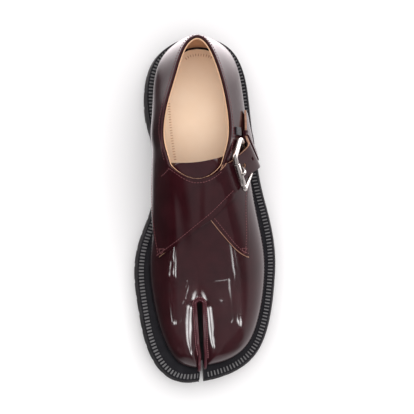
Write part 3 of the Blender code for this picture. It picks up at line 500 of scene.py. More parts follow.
def add_grid(bm, points, flip=False, leave=(), tone=None):
    """Quads over a grid of points, but for the cells to leave; tone gives a cell's material index."""
    rows, cols = points.shape[:2]
    verts = [placed(bm, row) for row in points]
    for r in range(rows - 1):
        for c in range(cols - 1):
            if (r, c) in leave:
                continue
            quad = [verts[r][c], verts[r + 1][c], verts[r + 1][c + 1], verts[r][c + 1]]
            face = bm.faces.new(quad[::-1] if flip else quad)
            if tone:
                face.material_index = tone(r, c)


def weld(bm, dist=0.01):
    bmesh.ops.remove_doubles(bm, verts=bm.verts, dist=dist * MM)
    bmesh.ops.dissolve_degenerate(bm, edges=bm.edges, dist=0.01 * MM)


def piece(name, bm, mats, replaces=(), sharp=None):
    """Mesh object that rides on the shoe; edges sharper than the angle in degrees stay sharp."""
    if sharp is not None:
        bm.normal_update()
        limit = math.radians(sharp)
        for edge in bm.edges:
            edge.smooth = not (len(edge.link_faces) == 2 and edge.calc_face_angle(0.0) > limit)
    for face in bm.faces:
        face.smooth = True
    mesh = bpy.data.meshes.new(name)
    bm.to_mesh(mesh)
    bm.free()
    obj = bpy.data.objects.new(name, mesh)
    bpy.context.scene.collection.objects.link(obj)
    for mat in mats:
        mesh.materials.append(mat)
    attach(obj, "root")
    if replaces:
        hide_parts(*replaces)
    return obj


def sheet(name, bm, mats, solid, thickness, rim=0.22):
    """Rounded sheet with thickness inward, a lining face and a cut edge that is eased by the rim."""
    obj = piece(name, bm, mats, (solid,))
    smooth = obj.modifiers.new("smooth", "SUBSURF")
    smooth.levels = 1
    smooth.render_levels = 1
    smooth.boundary_smooth = "PRESERVE_CORNERS"
    solidify = obj.modifiers.new("thickness", "SOLIDIFY")
    solidify.thickness = thickness * MM
    solidify.offset = -1.0
    solidify.use_even_offset = True
    solidify.use_quality_normals = True
    solidify.material_offset = 1
    solidify.material_offset_rim = 2
    bevel = obj.modifiers.new("edge", "BEVEL")
    bevel.width = rim * MM
    bevel.segments = 2
    bevel.limit_method = "ANGLE"
    bevel.angle_limit = math.radians(50)
    return obj


# Materials
def material(name):
    mat = bpy.data.materials.new(name)
    mat.use_nodes = True
    return mat, mat.node_tree


def surface(tree, values, sources):
    """Sockets of the shader: plain values, then what other nodes give."""
    inputs = tree.nodes["Principled BSDF"].inputs
    for key, value in values.items():
        inputs[key].default_value = value
    for key, source in sources.items():
        tree.links.new(source, inputs[key])


def node(tree, kind, **settings):
    made = tree.nodes.new(kind)
    for key, value in settings.items():
        if key in made.inputs:
            made.inputs[key].default_value = value
        else:
            setattr(made, key, value)
    return made


def noise(tree, scale, detail=3.0, rough=0.5):
    """Noise in the object's own metres."""
    where = node(tree, "ShaderNodeTexCoord")
    made = node(tree, "ShaderNodeTexNoise", Scale=scale, Detail=detail, Roughness=rough)
    tree.links.new(where.outputs["Object"], made.inputs["Vector"])
    return made.outputs["Fac"]


def ramp(tree, source, stops):
    made = node(tree, "ShaderNodeValToRGB")
    elements = made.color_ramp.elements
    while len(elements) < len(stops):
        elements.new(0.5)
    for element, (place, colour) in zip(elements, stops):
        element.position = place
        element.color = (*colour, 1.0)
    tree.links.new(source, made.inputs["Fac"])
    return made.outputs["Color"]


def spread(tree, source, low, high, first=0.0, last=1.0):
    """Value from low to high while the source runs from first to last."""
    limits = {"From Min": first, "From Max": last, "To Min": low, "To Max": high}
    made = node(tree, "ShaderNodeMapRange", **limits)
    tree.links.new(source, made.inputs["Value"])
    return made.outputs["Result"]


def bump(tree, source, strength, distance, under=None):
    made = node(tree, "ShaderNodeBump", Strength=strength, Distance=distance * MM)
    tree.links.new(source, made.inputs["Height"])
    if under is not None:
        tree.links.new(under, made.inputs["Normal"])
    return made.outputs["Normal"]


BASE_SHINE = 0.15


def polished_leather(name, dark, light, roughness, coat, coat_rough):
    mat, tree = material(name)
    wave = bump(tree, noise(tree, 46.0, 2.0, 0.4), 0.30, 0.22)
    surface(tree, {
        "Specular IOR Level": BASE_SHINE,
        "Coat Weight": coat,
        "Coat Roughness": coat_rough,
        "Coat IOR": 1.5,
    }, {
        "Base Color": ramp(tree, noise(tree, 60.0, 4.0, 0.55), ((0.32, dark), (0.72, light))),
        "Roughness": spread(tree, noise(tree, 220.0), roughness - 0.05, roughness + 0.06),
        "Normal": bump(tree, noise(tree, 1500.0, 2.0, 0.5), 0.12, 0.05, wave),
        "Coat Normal": wave,
    })
    return mat


def matt_material(name, dark, light, scale, roughness, bump_scale, depth, sheen=0.0, shine=0.4):
    mat, tree = material(name)
    surface(tree, {"Sheen Weight": sheen, "Specular IOR Level": shine}, {
        "Base Color": ramp(tree, noise(tree, scale, 5.0, 0.6), ((0.30, dark), (0.72, light))),
        "Roughness": spread(tree, noise(tree, scale * 3), roughness - 0.06, roughness + 0.06),
        "Normal": bump(tree, noise(tree, bump_scale, 3.0, 0.6), 0.35, depth),
    })
    return mat


def metal_material(name, colour, roughness):
    mat, tree = material(name)
    surface(tree, {"Base Color": (*colour, 1.0), "Metallic": 1.0}, {
        "Roughness": spread(tree, noise(tree, 700.0, 4.0), roughness - 0.05, roughness + 0.08),
        "Normal": bump(tree, noise(tree, 260.0, 2.0), 0.15, 0.05),
    })
    return mat


LEATHER = polished_leather(
    "burgundy_polished", (0.021, 0.0036, 0.0056), (0.034, 0.0062, 0.0090), 0.34, 1.0, 0.05)
BINDING = polished_leather("burgundy_piping", (0.050, 0.011, 0.016), (0.080, 0.020, 0.027), 0.42, 0.4, 0.2)
# Matt ones: name, dark and light tone, scale of the tone, roughness, scale and depth of the bump, sheen
LINING = matt_material("lining_leather", (0.66, 0.40, 0.24), (0.78, 0.50, 0.32), 90.0, 0.55, 900.0, 0.08)
NATURAL = matt_material("insole_leather", (0.93, 0.73, 0.53), (0.97, 0.79, 0.60), 40.0, 0.50, 800.0, 0.06)
RAW_EDGE = matt_material("cut_edge", (0.30, 0.15, 0.10), (0.46, 0.27, 0.18), 300.0, 0.75, 1500.0, 0.10)
DARK_EDGE = matt_material(
    "painted_edge", (0.030, 0.008, 0.010), (0.060, 0.018, 0.022), 300.0, 0.5, 1500.0, 0.08)
RUBBER = matt_material(
    "welt_rubber", (0.013, 0.0125, 0.015), (0.021, 0.0205, 0.024), 120.0, 0.50, 1800.0, 0.05, shine=0.12)
# Rib tops of the welt: the same black rubber painted a lighter grey, a painted sheen where the tops face the
# overhead light
PAINTED_RIB_SHEEN = matt_material("welt_rib", (0.11, 0.108, 0.111), (0.17, 0.167, 0.17), 400.0, 0.55, 1800.0, 0.05)
TREAD = matt_material("tread_rubber", (0.030, 0.029, 0.031), (0.050, 0.048, 0.051), 90.0, 0.55, 1400.0, 0.06)
ELASTIC = matt_material(
    "dark_elastic", (0.030, 0.030, 0.034), (0.075, 0.075, 0.082), 900.0, 0.85, 1600.0, 0.20, 0.3)
TWIST = (500.0, 0.7, 2500.0, 0.05)
THREAD = matt_material("dusty_red_thread", (0.13, 0.042, 0.048), (0.21, 0.082, 0.088), *TWIST)
PIPING_THREAD = matt_material("piping_thread", (0.30, 0.13, 0.15), (0.42, 0.20, 0.22), *TWIST)
TAN_THREAD = matt_material("tan_thread", (0.52, 0.30, 0.17), (0.62, 0.38, 0.23), *TWIST)
STEEL = metal_material("nickel_steel", (0.80, 0.78, 0.74), 0.24)

# Material places in the leather pieces: cut edges show tan, edges from FOLDED on are dark
FOLDED = 3
LEATHER_SET = (LEATHER, LINING, RAW_EDGE, LEATHER, LINING, DARK_EDGE)


def rows_between(*spans):
    stations = [np.linspace(a, b, n, endpoint=False) for a, b, n in spans]
    return np.concatenate(stations + [[spans[-1][1]]])


# Upper: vamp and lining as one shell
N_OUTER = 24
N_CROWN = 16
CREST_SECTION = 12.2
CREST_EASE = 13.0
CREST_PASSES = 70
# Soft creases where the vamp bends: x and s of both ends, bow toward the toe, depth, half width
CREASES = (
    (-33.0, 196.0, -9.0, 203.5, 3.0, 0.22, 3.6),
    (4.0, 203.0, 26.0, 199.0, 3.0, 0.22, 3.6),
    (-27.0, 207.5, -12.0, 212.0, 1.5, 0.16, 3.0),
    (-36.0, 186.0, -24.0, 190.0, 1.0, 0.20, 2.8),
)
# Swell beside a crease: share of its depth, place and width in half widths; lowest place over the welt
SWELL = 0.45
SWELL_AT = 2.0
SWELL_WIDTH = 1.4
CREASE_LOW = 8.0


def crease(bm):
    """Press the creases into the vamp."""
    bm.normal_update()
    for vert in bm.verts:
        x, s, z = shoe(vert.co)
        push = 0.0
        for x0, s0, x1, s1, bow, depth, half in CREASES:
            along = np.array([x1 - x0, s1 - s0])
            span = float(along @ along)
            share = ((x - x0) * along[0] + (s - s0) * along[1]) / span
            if not 0.0 < share < 1.0:
                continue
            fade = math.sin(math.pi * share)
            off = ((s - s0) * along[0] - (x - x0) * along[1]) / math.sqrt(span) - bow * fade
            trough = math.exp(-(off / half) ** 2)
            ridge = math.exp(-((off + SWELL_AT * half) / (SWELL_WIDTH * half)) ** 2)
            push += depth * fade * (SWELL * ridge - trough)
        if push and vert.normal.z > 0.0 and z > welt_height(s) + CREASE_LOW:
            vert.co += vert.normal * (push * MM)


def upper_surface():
    bm = bmesh.new()
    v_side = np.linspace(0.0, 1.0, N_OUTER + 1)
    v_crown = np.linspace(0.0, 1.0, N_CROWN + 1)
    n_wall = N_OUTER - N_CROWN
    back = rows_between((0.0, HEEL_TURN, 12), (HEEL_TURN, THROAT, 16))
    vamp = rows_between((THROAT, CLEFT_START, 44))
    opened = CLEFT_START + CLEFT_ROUND
    toe = rows_between((CLEFT_START, opened, 5), (opened, TOE_TURN, 6), (TOE_TURN, LAST_SECTION, 9))
    everywhere = np.concatenate([back, vamp[1:], toe[1:]])
    for side in (1, -1):
        add_grid(bm, bezier_rows(side_controls(everywhere * side), v_side), flip=side > 0)
        add_grid(bm, bezier_rows(crown_controls(vamp, side), v_crown), flip=side > 0)
        dome = bezier_rows(crown_controls(toe, side), v_crown)
        edge = dome[:, -1]
        floor = raised(edge[:, :2], welt_height(edge[:, 1]) + GAP)
        v = np.linspace(0.0, 1.0, n_wall + 1)[None, 1:, None]
        inside = np.concatenate([dome, edge[:, None] * (1 - v) + floor[:, None] * v], axis=1)
        spoke = bezier_rows(side_controls(np.array([LAST_SECTION * side])), v_side)[:, ::-1]
        ease = eased((toe - TOE_TURN) / (LAST_SECTION - TOE_TURN))[:, None, None]
        merge = np.where(toe == LAST_SECTION, 1.0, 0.0)[:, None, None]
        inside = inside + (spoke - inside[-1:]) * np.maximum(ease, merge)
        add_grid(bm, inside, flip=side > 0)
    weld(bm)
    for side in (1, -1):
        crest = world(TOP_RING(CREST_SECTION * side)[0])
        patch = [v for v in bm.verts if (v.co - crest).length < CREST_EASE * MM]
        for _ in range(CREST_PASSES):
            bmesh.ops.smooth_vert(
                bm, verts=patch, factor=0.5, use_axis_x=True, use_axis_y=True, use_axis_z=True)
    crease(bm)
    bm.normal_update()
    return bm


upper_bm = upper_surface()
UPPER_TREE = BVHTree.FromBMesh(upper_bm)
upper = sheet("upper_shell", upper_bm, (LEATHER, LINING, LINING), "upper", SHELL)


# Quarters and strap
BACK_SEAM = 0.012
PANEL_COLUMNS = 19
COLLAR_ROWS = 28
FACING_ROWS = 36
STRAP_COLUMNS = 13
# Highest shares searched for the front edges, steps of the search, and the split of the inner panel
FACING_LIMIT = 1.6
STRAP_LIMIT = 3.4
SEARCH_STEPS = 160
PANEL_SPLIT = 0.62
PANEL_FRONT = 6.80
# Shares over which the strap's lift grows past the ridge, and the stations of its rows
LIFT_OVER = 0.5
STRAP_STATIONS = np.concatenate([np.linspace(0.0, 6.0, 31), np.linspace(6.0, 9.0, 13)[1:]])
# Cells left out of the strap: the prong's hole and the spare one
HOLE_ROW = 13
SPARE_ROW = 18
MIDDLE_COLUMNS = (STRAP_COLUMNS // 2 - 1, STRAP_COLUMNS // 2)
HOLES = [(row, c) for row in (HOLE_ROW, HOLE_ROW + 1, SPARE_ROW) for c in MIDDLE_COLUMNS]


def edge_share(shares, points, edge):
    """Share at which a row of points crosses an edge that is given seen from above."""
    line = Curve(column(edge, 0), column(edge, 1))
    x = np.clip(points[:, 0], edge[0][0], edge[-1][0])
    ahead = points[:, 1] - line(x)
    for i in range(1, len(shares)):
        if ahead[i - 1] < 0.0 <= ahead[i]:
            mix = ahead[i - 1] / (ahead[i - 1] - ahead[i])
            return shares[i - 1] + mix * (shares[i] - shares[i - 1])
    return shares[0]


def lateral_quarter():
    rows = rows_between(
        (BACK_SEAM, HEEL_TURN, 12), (HEEL_TURN, THROAT, 16), (THROAT, FACING_START, 8),
        (FACING_START, LATERAL_LOW[-1][0], 16))
    grid = []
    for t in rows:
        low = low_share(t, LATERAL_LOW)
        shares = np.linspace(low, FACING_LIMIT, SEARCH_STEPS)
        high = edge_share(shares, side_point(max(t, FACING_START), shares, 1), FACING)
        if t < FACING_START:
            high = np.interp(t, (THROAT, FACING_START), (1.0, high))
        grid.append(over(t, np.linspace(low, high, PANEL_COLUMNS), 1, PANEL_LIFT))
    return np.array(grid)


def lateral_tone(row, col):
    """Folded edges at the sole, at the front tip and along the collar; the facing's edge is cut."""
    at_top = col == LATERAL_GRID.shape[1] - 2 and row < COLLAR_ROWS
    return FOLDED if col == 0 or row == LATERAL_GRID.shape[0] - 2 or at_top else 0


LATERAL_GRID = lateral_quarter()
lateral_bm = bmesh.new()
add_grid(lateral_bm, LATERAL_GRID, True, tone=lateral_tone)
weld(lateral_bm)
lateral = sheet("outer_quarter", lateral_bm, LEATHER_SET, "quarter_lateral", QUARTER)


def row_across(row, columns, extra=0.0, beyond=0.0):
    """Row of points over the outer side and its mean normal; beyond runs past both ends."""
    rear_t, rear_q, front_t, front_q, lift, flat = row
    flat = min(max(flat, 0.0), 1.0)
    u = np.linspace(-beyond, 1.0 + beyond, columns)
    t = rear_t + (front_t - rear_t) * u
    share = rear_q + (front_q - rear_q) * u
    follow = over(t, share, 1, lift + extra)
    normal = unit(side_normal(t, share, 1).mean(0))
    chord = follow[0] + (follow[-1] - follow[0]) * np.linspace(0.0, 1.0, columns)[:, None]
    chord = chord + normal * max(((follow - chord) @ normal).max(), 0.0)
    return follow * (1.0 - flat) + chord * flat, normal


def strap_row(station, columns, extra=0.0, beyond=0.0):
    return row_across(STRAP_LINE(station)[0], columns, extra, beyond)


def medial_quarter_strap():
    """Grids of the inner quarter, the panel over the instep and the strap with its tail."""
    quarter_rows = rows_between((BACK_SEAM, HEEL_TURN, 12), (HEEL_TURN, THROAT, 16))
    bridge = np.linspace(THROAT, BRIDGE, STRAP_COLUMNS)
    panel_rows = np.concatenate([bridge, rows_between((PANEL_FRONT, MEDIAL_LOW[-1][0], 18))])
    bridge_share = (4.0 - STRAP[0][1], 4.0 - STRAP[0][3])

    def inner_row(t, low, high):
        return over(t, np.linspace(low, high, PANEL_COLUMNS), -1, PANEL_LIFT)

    quarter = np.array([inner_row(t, low_share(t, MEDIAL_LOW), 1.0) for t in quarter_rows])
    inner = []
    outer = []
    for t in panel_rows:
        low = low_share(t, MEDIAL_LOW)
        front = np.interp(t, (THROAT, BRIDGE), bridge_share)
        if t > BRIDGE:
            shares = np.linspace(low, STRAP_LIMIT, 2 * SEARCH_STEPS)
            front = edge_share(shares, across_instep(t, shares, 0.0), STRAP_FRONT)
        split = min(1.0, low + PANEL_SPLIT * (front - low))
        inner.append(inner_row(t, low, split))
        share = np.linspace(split, front, PANEL_COLUMNS)
        lift = PANEL_LIFT + (STRAP[0][4] - PANEL_LIFT) * eased((share - 2.0) / LIFT_OVER)
        outer.append(across_instep(t, share, lift))
    strap = [strap_row(w, STRAP_COLUMNS)[0] for w in STRAP_STATIONS]
    strap[0] = np.array([row[-1] for row in outer[:STRAP_COLUMNS]])
    return quarter, np.array(inner), np.array(outer), np.array(strap)


def strap_tone(row, col):
    """Cut edges all round but for the spare hole."""
    return FOLDED if abs(row - SPARE_ROW) < 2 and 0 < col < STRAP_COLUMNS - 2 else 0


MEDIAL_GRIDS = medial_quarter_strap()
medial_bm = bmesh.new()
for grid in MEDIAL_GRIDS[:3]:
    add_grid(medial_bm, grid, tone=lambda row, col: FOLDED)
add_grid(medial_bm, MEDIAL_GRIDS[3], True, HOLES, strap_tone)
weld(medial_bm, 0.05)
medial = sheet(
    "inner_quarter_strap", medial_bm, LEATHER_SET, "quarter_medial_strap", QUARTER)


# Tongue: sections, shares of its side, centre and half width of its end, share of width kept there,
# and the end's place, slant, bow, arch, drop and drop at the sides
TONGUE_SECTIONS = (7.4, 7.1, 6.8, 6.5, 6.25, 6.02)
TONGUE_X = -7.0
TONGUE_HALF = 23.0
TONGUE_SHARES = np.concatenate([np.linspace(0.72, 1.0, 7), np.linspace(1.0, 2.0, 10)[1:]])
TONGUE_TAPER = 0.95
TONGUE_END = 108.5
TONGUE_SLANT = 2.6
TONGUE_BOW = 3.0
TONGUE_ARCH = 0.4
TONGUE_DROP = 1.2
TONGUE_SIDE_DROP = 1.4


def tongue_grid():
    depth = -(WALL + PANEL_GAP)
    rows = []
    for t in TONGUE_SECTIONS:
        inner = over(t, TONGUE_SHARES, -1, depth)
        rows.append(np.concatenate([over(t, TONGUE_SHARES, 1, depth), inner[-2::-1]]))
    throat = rows[-1]
    aside = (throat[:, 0] - TONGUE_X) / TONGUE_HALF
    end = throat.copy()
    end[:, 0] = TONGUE_X + TONGUE_TAPER * (throat[:, 0] - TONGUE_X)
    end[:, 1] = TONGUE_END - TONGUE_SLANT * aside + TONGUE_BOW * (1.0 - aside ** 2)
    end[:, 2] -= TONGUE_DROP + TONGUE_SIDE_DROP * aside ** 2
    return np.array(rows + [0.5 * (throat + end) + TONGUE_ARCH * UP, end])


tongue_bm = bmesh.new()
add_grid(tongue_bm, tongue_grid())
weld(tongue_bm)
sheet("tongue_leather", tongue_bm, (LEATHER, LINING, DARK_EDGE), "tongue", QUARTER)


# Sole
def all_round(count):
    outer = np.linspace(0.0, LAST_SECTION, count)
    return np.concatenate([-outer[:0:-1], outer])


def edge_run(extra, count):
    """Sections round the shoe and the run along the line that lies an extra width outside the welt."""
    fine = all_round(count)
    return fine, run_along(outside_welt(fine, extra))


# Welt: spacing, height and share of the ribs, and the line at which they are spaced evenly
RIB_PITCH = 2.8
RIB_STEPS = 8
RIB_HEIGHT = 0.95
RIB_SHAPE = (0.9, 1.7)
RIB_LINE = -3.0
WELT_INSIDE = 2.0
WELT_FINE = 3000
# Its profile: share of the width, millimetres outward from there, height over the top, share of the rib
WELT_PROFILE = (
    (0.0, -6.0, -WELT_T, 0.0),
    (0.0, -6.0, -0.6, 0.0),
    (0.0, -1.0, -0.5, 0.0),
    (0.0, 0.3, -0.3, 0.0),
    (0.0, 0.6, 0.35, 0.0),
    (0.0, 1.1, 0.45, 0.0),
    (0.0, 1.5, 0.2, 0.0),
    (0.0, 1.7, -0.5, 0.0),
    (1.0, -5.9, -0.75, 0.0),
    (1.0, -5.7, -0.75, 0.2),
    (1.0, -5.3, -0.7, 1.0),
    (1.0, -3.2, -0.65, 1.0),
    (1.0, -1.3, -0.75, 1.0),
    (1.0, -1.0, -0.85, 0.2),
    (1.0, -0.8, -1.1, 0.0),
    (1.0, -0.7, -0.9, 0.0),
    (1.0, -0.3, -0.9, 0.0),
    (1.0, 0.0, -1.3, 0.0),
    (1.0, 0.0, -3.4, 0.0),
    (1.0, -1.0, -WELT_T, 0.0),
)


def welt_strip():
    """Welt with a lip against the upper, a smooth band, cross ribs whose tops carry a painted sheen, and a
    rounded edge.
    """
    fine, length = edge_run(RIB_LINE, WELT_FINE)
    run = np.linspace(0.0, length[-1], int(length[-1] * RIB_STEPS / RIB_PITCH) + 1)
    plan, out, width = feather_plan(np.interp(run, length, fine))
    rib = np.clip(RIB_SHAPE[0] + RIB_SHAPE[1] * np.cos(2.0 * math.pi * run / RIB_PITCH), 0.0, 1.0)
    rows = []
    for share, extra, height, ribbed in WELT_PROFILE:
        flat = plan + out * (share * width + extra)[:, None]
        rows.append(raised(flat, welt_height(flat[:, 1]) + height + rib * ribbed * RIB_HEIGHT))
    grid = np.stack(rows, 1)
    ends = []
    for at, tip, root in ((0, NOTCH[3], NOTCH[2]), (-1, NOTCH[0], NOTCH[1])):
        row = grid[at]
        reach = np.clip((row[:, :2] - plan[at]) @ out[at], -WELT_INSIDE, None)
        mix = ((reach + WELT_INSIDE) / (width[at] + WELT_INSIDE))[:, None]
        last = raised(np.array(root) * (1.0 - mix) + np.array(tip) * mix, row[:, 2])
        ends.append([row + (last - row) * f for f in (1 / 3, 2 / 3, 1.0)])
    grid = np.concatenate([np.array(ends[0][::-1]), grid, np.array(ends[1])])
    high = np.concatenate([np.zeros(3), rib, np.zeros(3)])

    # Faces on the tops of the ribs take the lighter grey rubber: painted sheen on the rib tops
    def painted_sheen_on_rib(r, c, d):
        shares = (WELT_PROFILE[c][3], WELT_PROFILE[d][3], high[r], high[r + 1])
        return int(min(shares) > 0.5)

    bm = bmesh.new()
    skin(bm, [placed(bm, row) for row in grid], tone=painted_sheen_on_rib)
    face_outward(bm)
    return bm


piece("welt_ribbed", welt_strip(), (RUBBER, PAINTED_RIB_SHEEN), ("welt",), sharp=38)

# Tread: a slab of plain thickness, whose rings stand outside the welt's edge at shares of that
# thickness, bent to the sole after cuts at even spacing: from, to, step
SLAB = 10.0
SLAB_RINGS = ((SOLE_STEP, 0.0), (SOLE_STEP, 0.56), (SOLE_STEP - 0.5, 0.62), (0.0, 0.68), (0.0, 1.0))
LUG_TOP = 0.35 * SLAB
SOLE_POINTS = 150
LUG_FINE = 800
LUG_POINTS = 7
SOLE_CUTS = ((8.0, 74.0, 8.0), (74.0, 140.0, 2.0), (140.0, 288.0, 6.0))


def sole_outline(extra):
    notch = np.array(NOTCH)
    notch[[0, -1], 1] += extra
    return np.concatenate([outside_welt(all_round(SOLE_POINTS), extra), notch])


def plan_slab(bm, rings):
    skin(bm, [[bm.verts.new((p[0], p[1], z)) for p in outline] for outline, z in rings])
    face_outward(bm)


def bend_to_sole(bm):
    for s in np.concatenate([np.arange(*span) for span in SOLE_CUTS]):
        geom = bm.verts[:] + bm.edges[:] + bm.faces[:]
        bmesh.ops.bisect_plane(bm, geom=geom, plane_co=(0.0, s, 0.0), plane_no=(0.0, 1.0, 0.0), dist=1e-4)
    for vert in bm.verts:
        x, s, z = vert.co
        low = float(under_height(s)) + LUG_DEPTH
        high = float(welt_height(s)) - WELT_T - GAP
        vert.co = world((x, s, low + z if z <= 0.0 else low + (high - low) * z / SLAB))
    face_outward(bm)


def lug_blocks(bm):
    fine, run = edge_run(SOLE_STEP + LUG_PROUD, LUG_FINE)
    pitch = LUG_LENGTH + LUG_SPACE
    count = int((run[-1] - LUG_SPACE) // pitch)
    first = (run[-1] - count * pitch + LUG_SPACE) / 2.0
    outlines = []
    for start in first + pitch * np.arange(count):
        tau = np.interp(np.linspace(start, start + LUG_LENGTH, LUG_POINTS), run, fine)
        rim = outside_welt(tau, SOLE_STEP + LUG_PROUD)
        root = outside_welt(tau[[-1, 0]], SOLE_STEP - LUG_WIDTH)
        if rim[:, 1].max() < HEEL_BREAST or rim[:, 1].min() > TREAD_BACK:
            outlines.append(np.concatenate([rim, root]))
    for x, s, half in CENTRE_LUGS:
        near = s - CENTRE_LUG_HALF
        far = s + CENTRE_LUG_HALF
        outlines.append([(x - half, near), (x + half, near), (x + half, far), (x - half, far)])
    for outline in outlines:
        plan_slab(bm, ((outline, -LUG_DEPTH), (outline, LUG_TOP)))


def joined(base, added):
    objs = []
    for part_bm in (base, added):
        mesh = bpy.data.meshes.new("union_part")
        part_bm.to_mesh(mesh)
        part_bm.free()
        obj = bpy.data.objects.new("union_part", mesh)
        bpy.context.scene.collection.objects.link(obj)
        objs.append(obj)
    union = objs[0].modifiers.new("union", "BOOLEAN")
    union.operation = "UNION"
    union.solver = "EXACT"
    union.object = objs[1]
    bpy.context.view_layer.update()
    result = bmesh.new()
    result.from_mesh(objs[0].evaluated_get(bpy.context.evaluated_depsgraph_get()).to_mesh())
    for obj in objs:
        bpy.data.objects.remove(obj, do_unlink=True)
    return result


tread = bmesh.new()
plan_slab(tread, [(sole_outline(extra), share * SLAB) for extra, share in SLAB_RINGS])
lugs = bmesh.new()
lug_blocks(lugs)
sole_bm = joined(tread, lugs)
bend_to_sole(sole_bm)
piece("lugged_sole", sole_bm, (TREAD,), ("outsole",), sharp=32)

NODES["insole"].data.materials.clear()
NODES["insole"].data.materials.append(NATURAL)


# Buckle, keeper and tab
def frame_along(path, closed):
    if closed:
        tangent = unit(np.roll(path, -1, axis=0) - np.roll(path, 1, axis=0))
    else:
        tangent = unit(np.gradient(path, axis=0))
    side = np.cross(tangent[0], UP if abs(tangent[0][2]) < 0.9 else np.array([1.0, 0.0, 0.0]))
    sides = []
    for direction in tangent:
        side = unit(side - direction * (side @ direction))
        sides.append(side)
    return tangent, np.array(sides)


def circle(count):
    angle = np.arange(count) * 2.0 * math.pi / count
    return np.cos(angle)[:, None], np.sin(angle)[:, None]


def tube(bm, path, radius, count, closed=False):
    path = np.asarray(path, float)
    tangent, side = frame_along(path, closed)
    radius = np.broadcast_to(np.asarray(radius, float), len(path))
    cos, sin = circle(count)
    rows = zip(path, side, np.cross(tangent, side), radius)
    skin(bm, [placed(bm, at + (across * cos + lift * sin) * r) for at, across, lift, r in rows], closed)
    face_outward(bm)


SLEEVE_EASE = 0.35
# Sides of the round bars, steps of the bends, and the prong's taper: share of its length, of its radius
FRAME_SIDES = 18
ROLLER_SIDES = 28
SLEEVE_SIDES = 24
PRONG_SIDES = 14
BEND_STEPS = 9
PRONG_STEPS = 41
PRONG_TAPER = ((0.0, 1.0), (0.85, 1.0), (0.97, 0.8), (1.0, 0.5))


def sleeve(bm, start, end, inner, outer, count):
    tangent, side = frame_along(np.array([start, end], float), False)
    along, across = tangent[0], side[0]
    cos, sin = circle(count)
    ring = across * cos + np.cross(along, across) * sin
    eased_in = along * SLEEVE_EASE
    profile = (
        (start, inner), (start, outer - SLEEVE_EASE), (start + eased_in, outer),
        (end - eased_in, outer), (end, outer - SLEEVE_EASE), (end, inner),
    )
    skin(bm, [placed(bm, at + ring * radius) for at, radius in profile], True)
    face_outward(bm)


def rounded_loop(corners, radius, steps):
    path = []
    for i in range(len(corners)):
        here = corners[i]
        a = here + unit(corners[i - 1] - here) * radius
        b = here + unit(corners[(i + 1) % len(corners)] - here) * radius
        for v in np.linspace(0.0, 1.0, steps):
            path.append((1 - v) ** 2 * a + 2 * v * (1 - v) * here + v * v * b)
    return np.array(path)


def frame_bars(roller, hinge):
    """Path and radii of the buckle: stout sides and corners, slim bars for the roller and the prong."""
    corners = np.array([roller[0], roller[2], hinge[2], hinge[0]])
    bends = rounded_loop(corners, FRAME_CORNER, BEND_STEPS).reshape(4, BEND_STEPS, 3)
    stout = ((SIDE_BAR_R, SIDE_BAR_R), (SIDE_BAR_R, BAR_R), (BAR_R, BAR_R), (SIDE_BAR_R, SIDE_BAR_R))
    insets = ((ROLLER_REAR, ROLLER_FRONT), None, (HINGE_INSET, HINGE_INSET), None)
    path = []
    radii = []
    for i in range(4):
        path.extend(bends[i])
        radii.extend(np.linspace(*stout[i], BEND_STEPS))
        if insets[i] is None:
            continue
        start = corners[i]
        end = corners[(i + 1) % 4]
        along = unit(end - start)
        first, last = insets[i]
        path.extend([start + along * (first - NECK), start + along * first])
        path.extend([end - along * last, end - along * (last - NECK)])
        radii.extend([stout[i][1], BAR_R, BAR_R, stout[(i + 1) % 4][0]])
    return np.array(path), np.array(radii)


roller_line, roller_up = strap_row(ROLLER_STATION, 3, 0.0, ROLLER_BEYOND)
roller_line = roller_line + roller_up * (GAP + ROLLER_R)
hinge_line, hinge_up = row_across(HINGE, 3)
hinge_line = hinge_line - hinge_up * (QUARTER + GAP + SLEEVE_R)
along_roller = unit(roller_line[2] - roller_line[0])
along_hinge = unit(hinge_line[2] - hinge_line[0])
frame_bm = bmesh.new()
tube(frame_bm, *frame_bars(roller_line, hinge_line), FRAME_SIDES, True)
piece("buckle_bars", frame_bm, (STEEL,), ("buckle_frame",), sharp=60)

roller_bm = bmesh.new()
roller_start = roller_line[0] + along_roller * (ROLLER_REAR + PLAY)
roller_end = roller_line[2] - along_roller * (ROLLER_FRONT + PLAY)
sleeve(roller_bm, roller_start, roller_end, BAR_R + PLAY, ROLLER_R, ROLLER_SIDES)
piece("roller_sleeve", roller_bm, (STEEL,), ("buckle_roller",), sharp=50)

prong_root = hinge_line[0] + (hinge_line[2] - hinge_line[0]) * PRONG_AT
to_roller = unit(roller_line[1] - prong_root)
prong_bm = bmesh.new()
sleeve(prong_bm, prong_root - along_hinge * SLEEVE_HALF, prong_root + along_hinge * SLEEVE_HALF,
       BAR_R + PLAY, SLEEVE_R, SLEEVE_SIDES)
hole_row, hole_up = strap_row(PRONG_HOLE, 3)
under_row, _ = strap_row(PRONG_UNDER, 3, -(QUARTER + GAP + PRONG_R))
rest = roller_line[1] + roller_up * (ROLLER_R + GAP + PRONG_R)
prong_path = np.array([
    prong_root + unit(under_row[1] - prong_root) * (SLEEVE_R - PLAY),
    under_row[1],
    hole_row[1] - hole_up * (0.5 * QUARTER),
    rest - to_roller * PRONG_RISE,
    rest,
    rest + to_roller * PRONG_TIP - roller_up * (0.5 * PRONG_R),
])
prong_line = Curve(np.arange(6), prong_path)(np.linspace(0.0, 5.0, PRONG_STEPS))
prong_taper = np.interp(np.linspace(0.0, 1.0, PRONG_STEPS), column(PRONG_TAPER, 0), column(PRONG_TAPER, 1))
tube(prong_bm, prong_line, prong_taper * PRONG_R, PRONG_SIDES)
piece("prong_pin", prong_bm, (STEEL,), ("buckle_prong",), sharp=50)

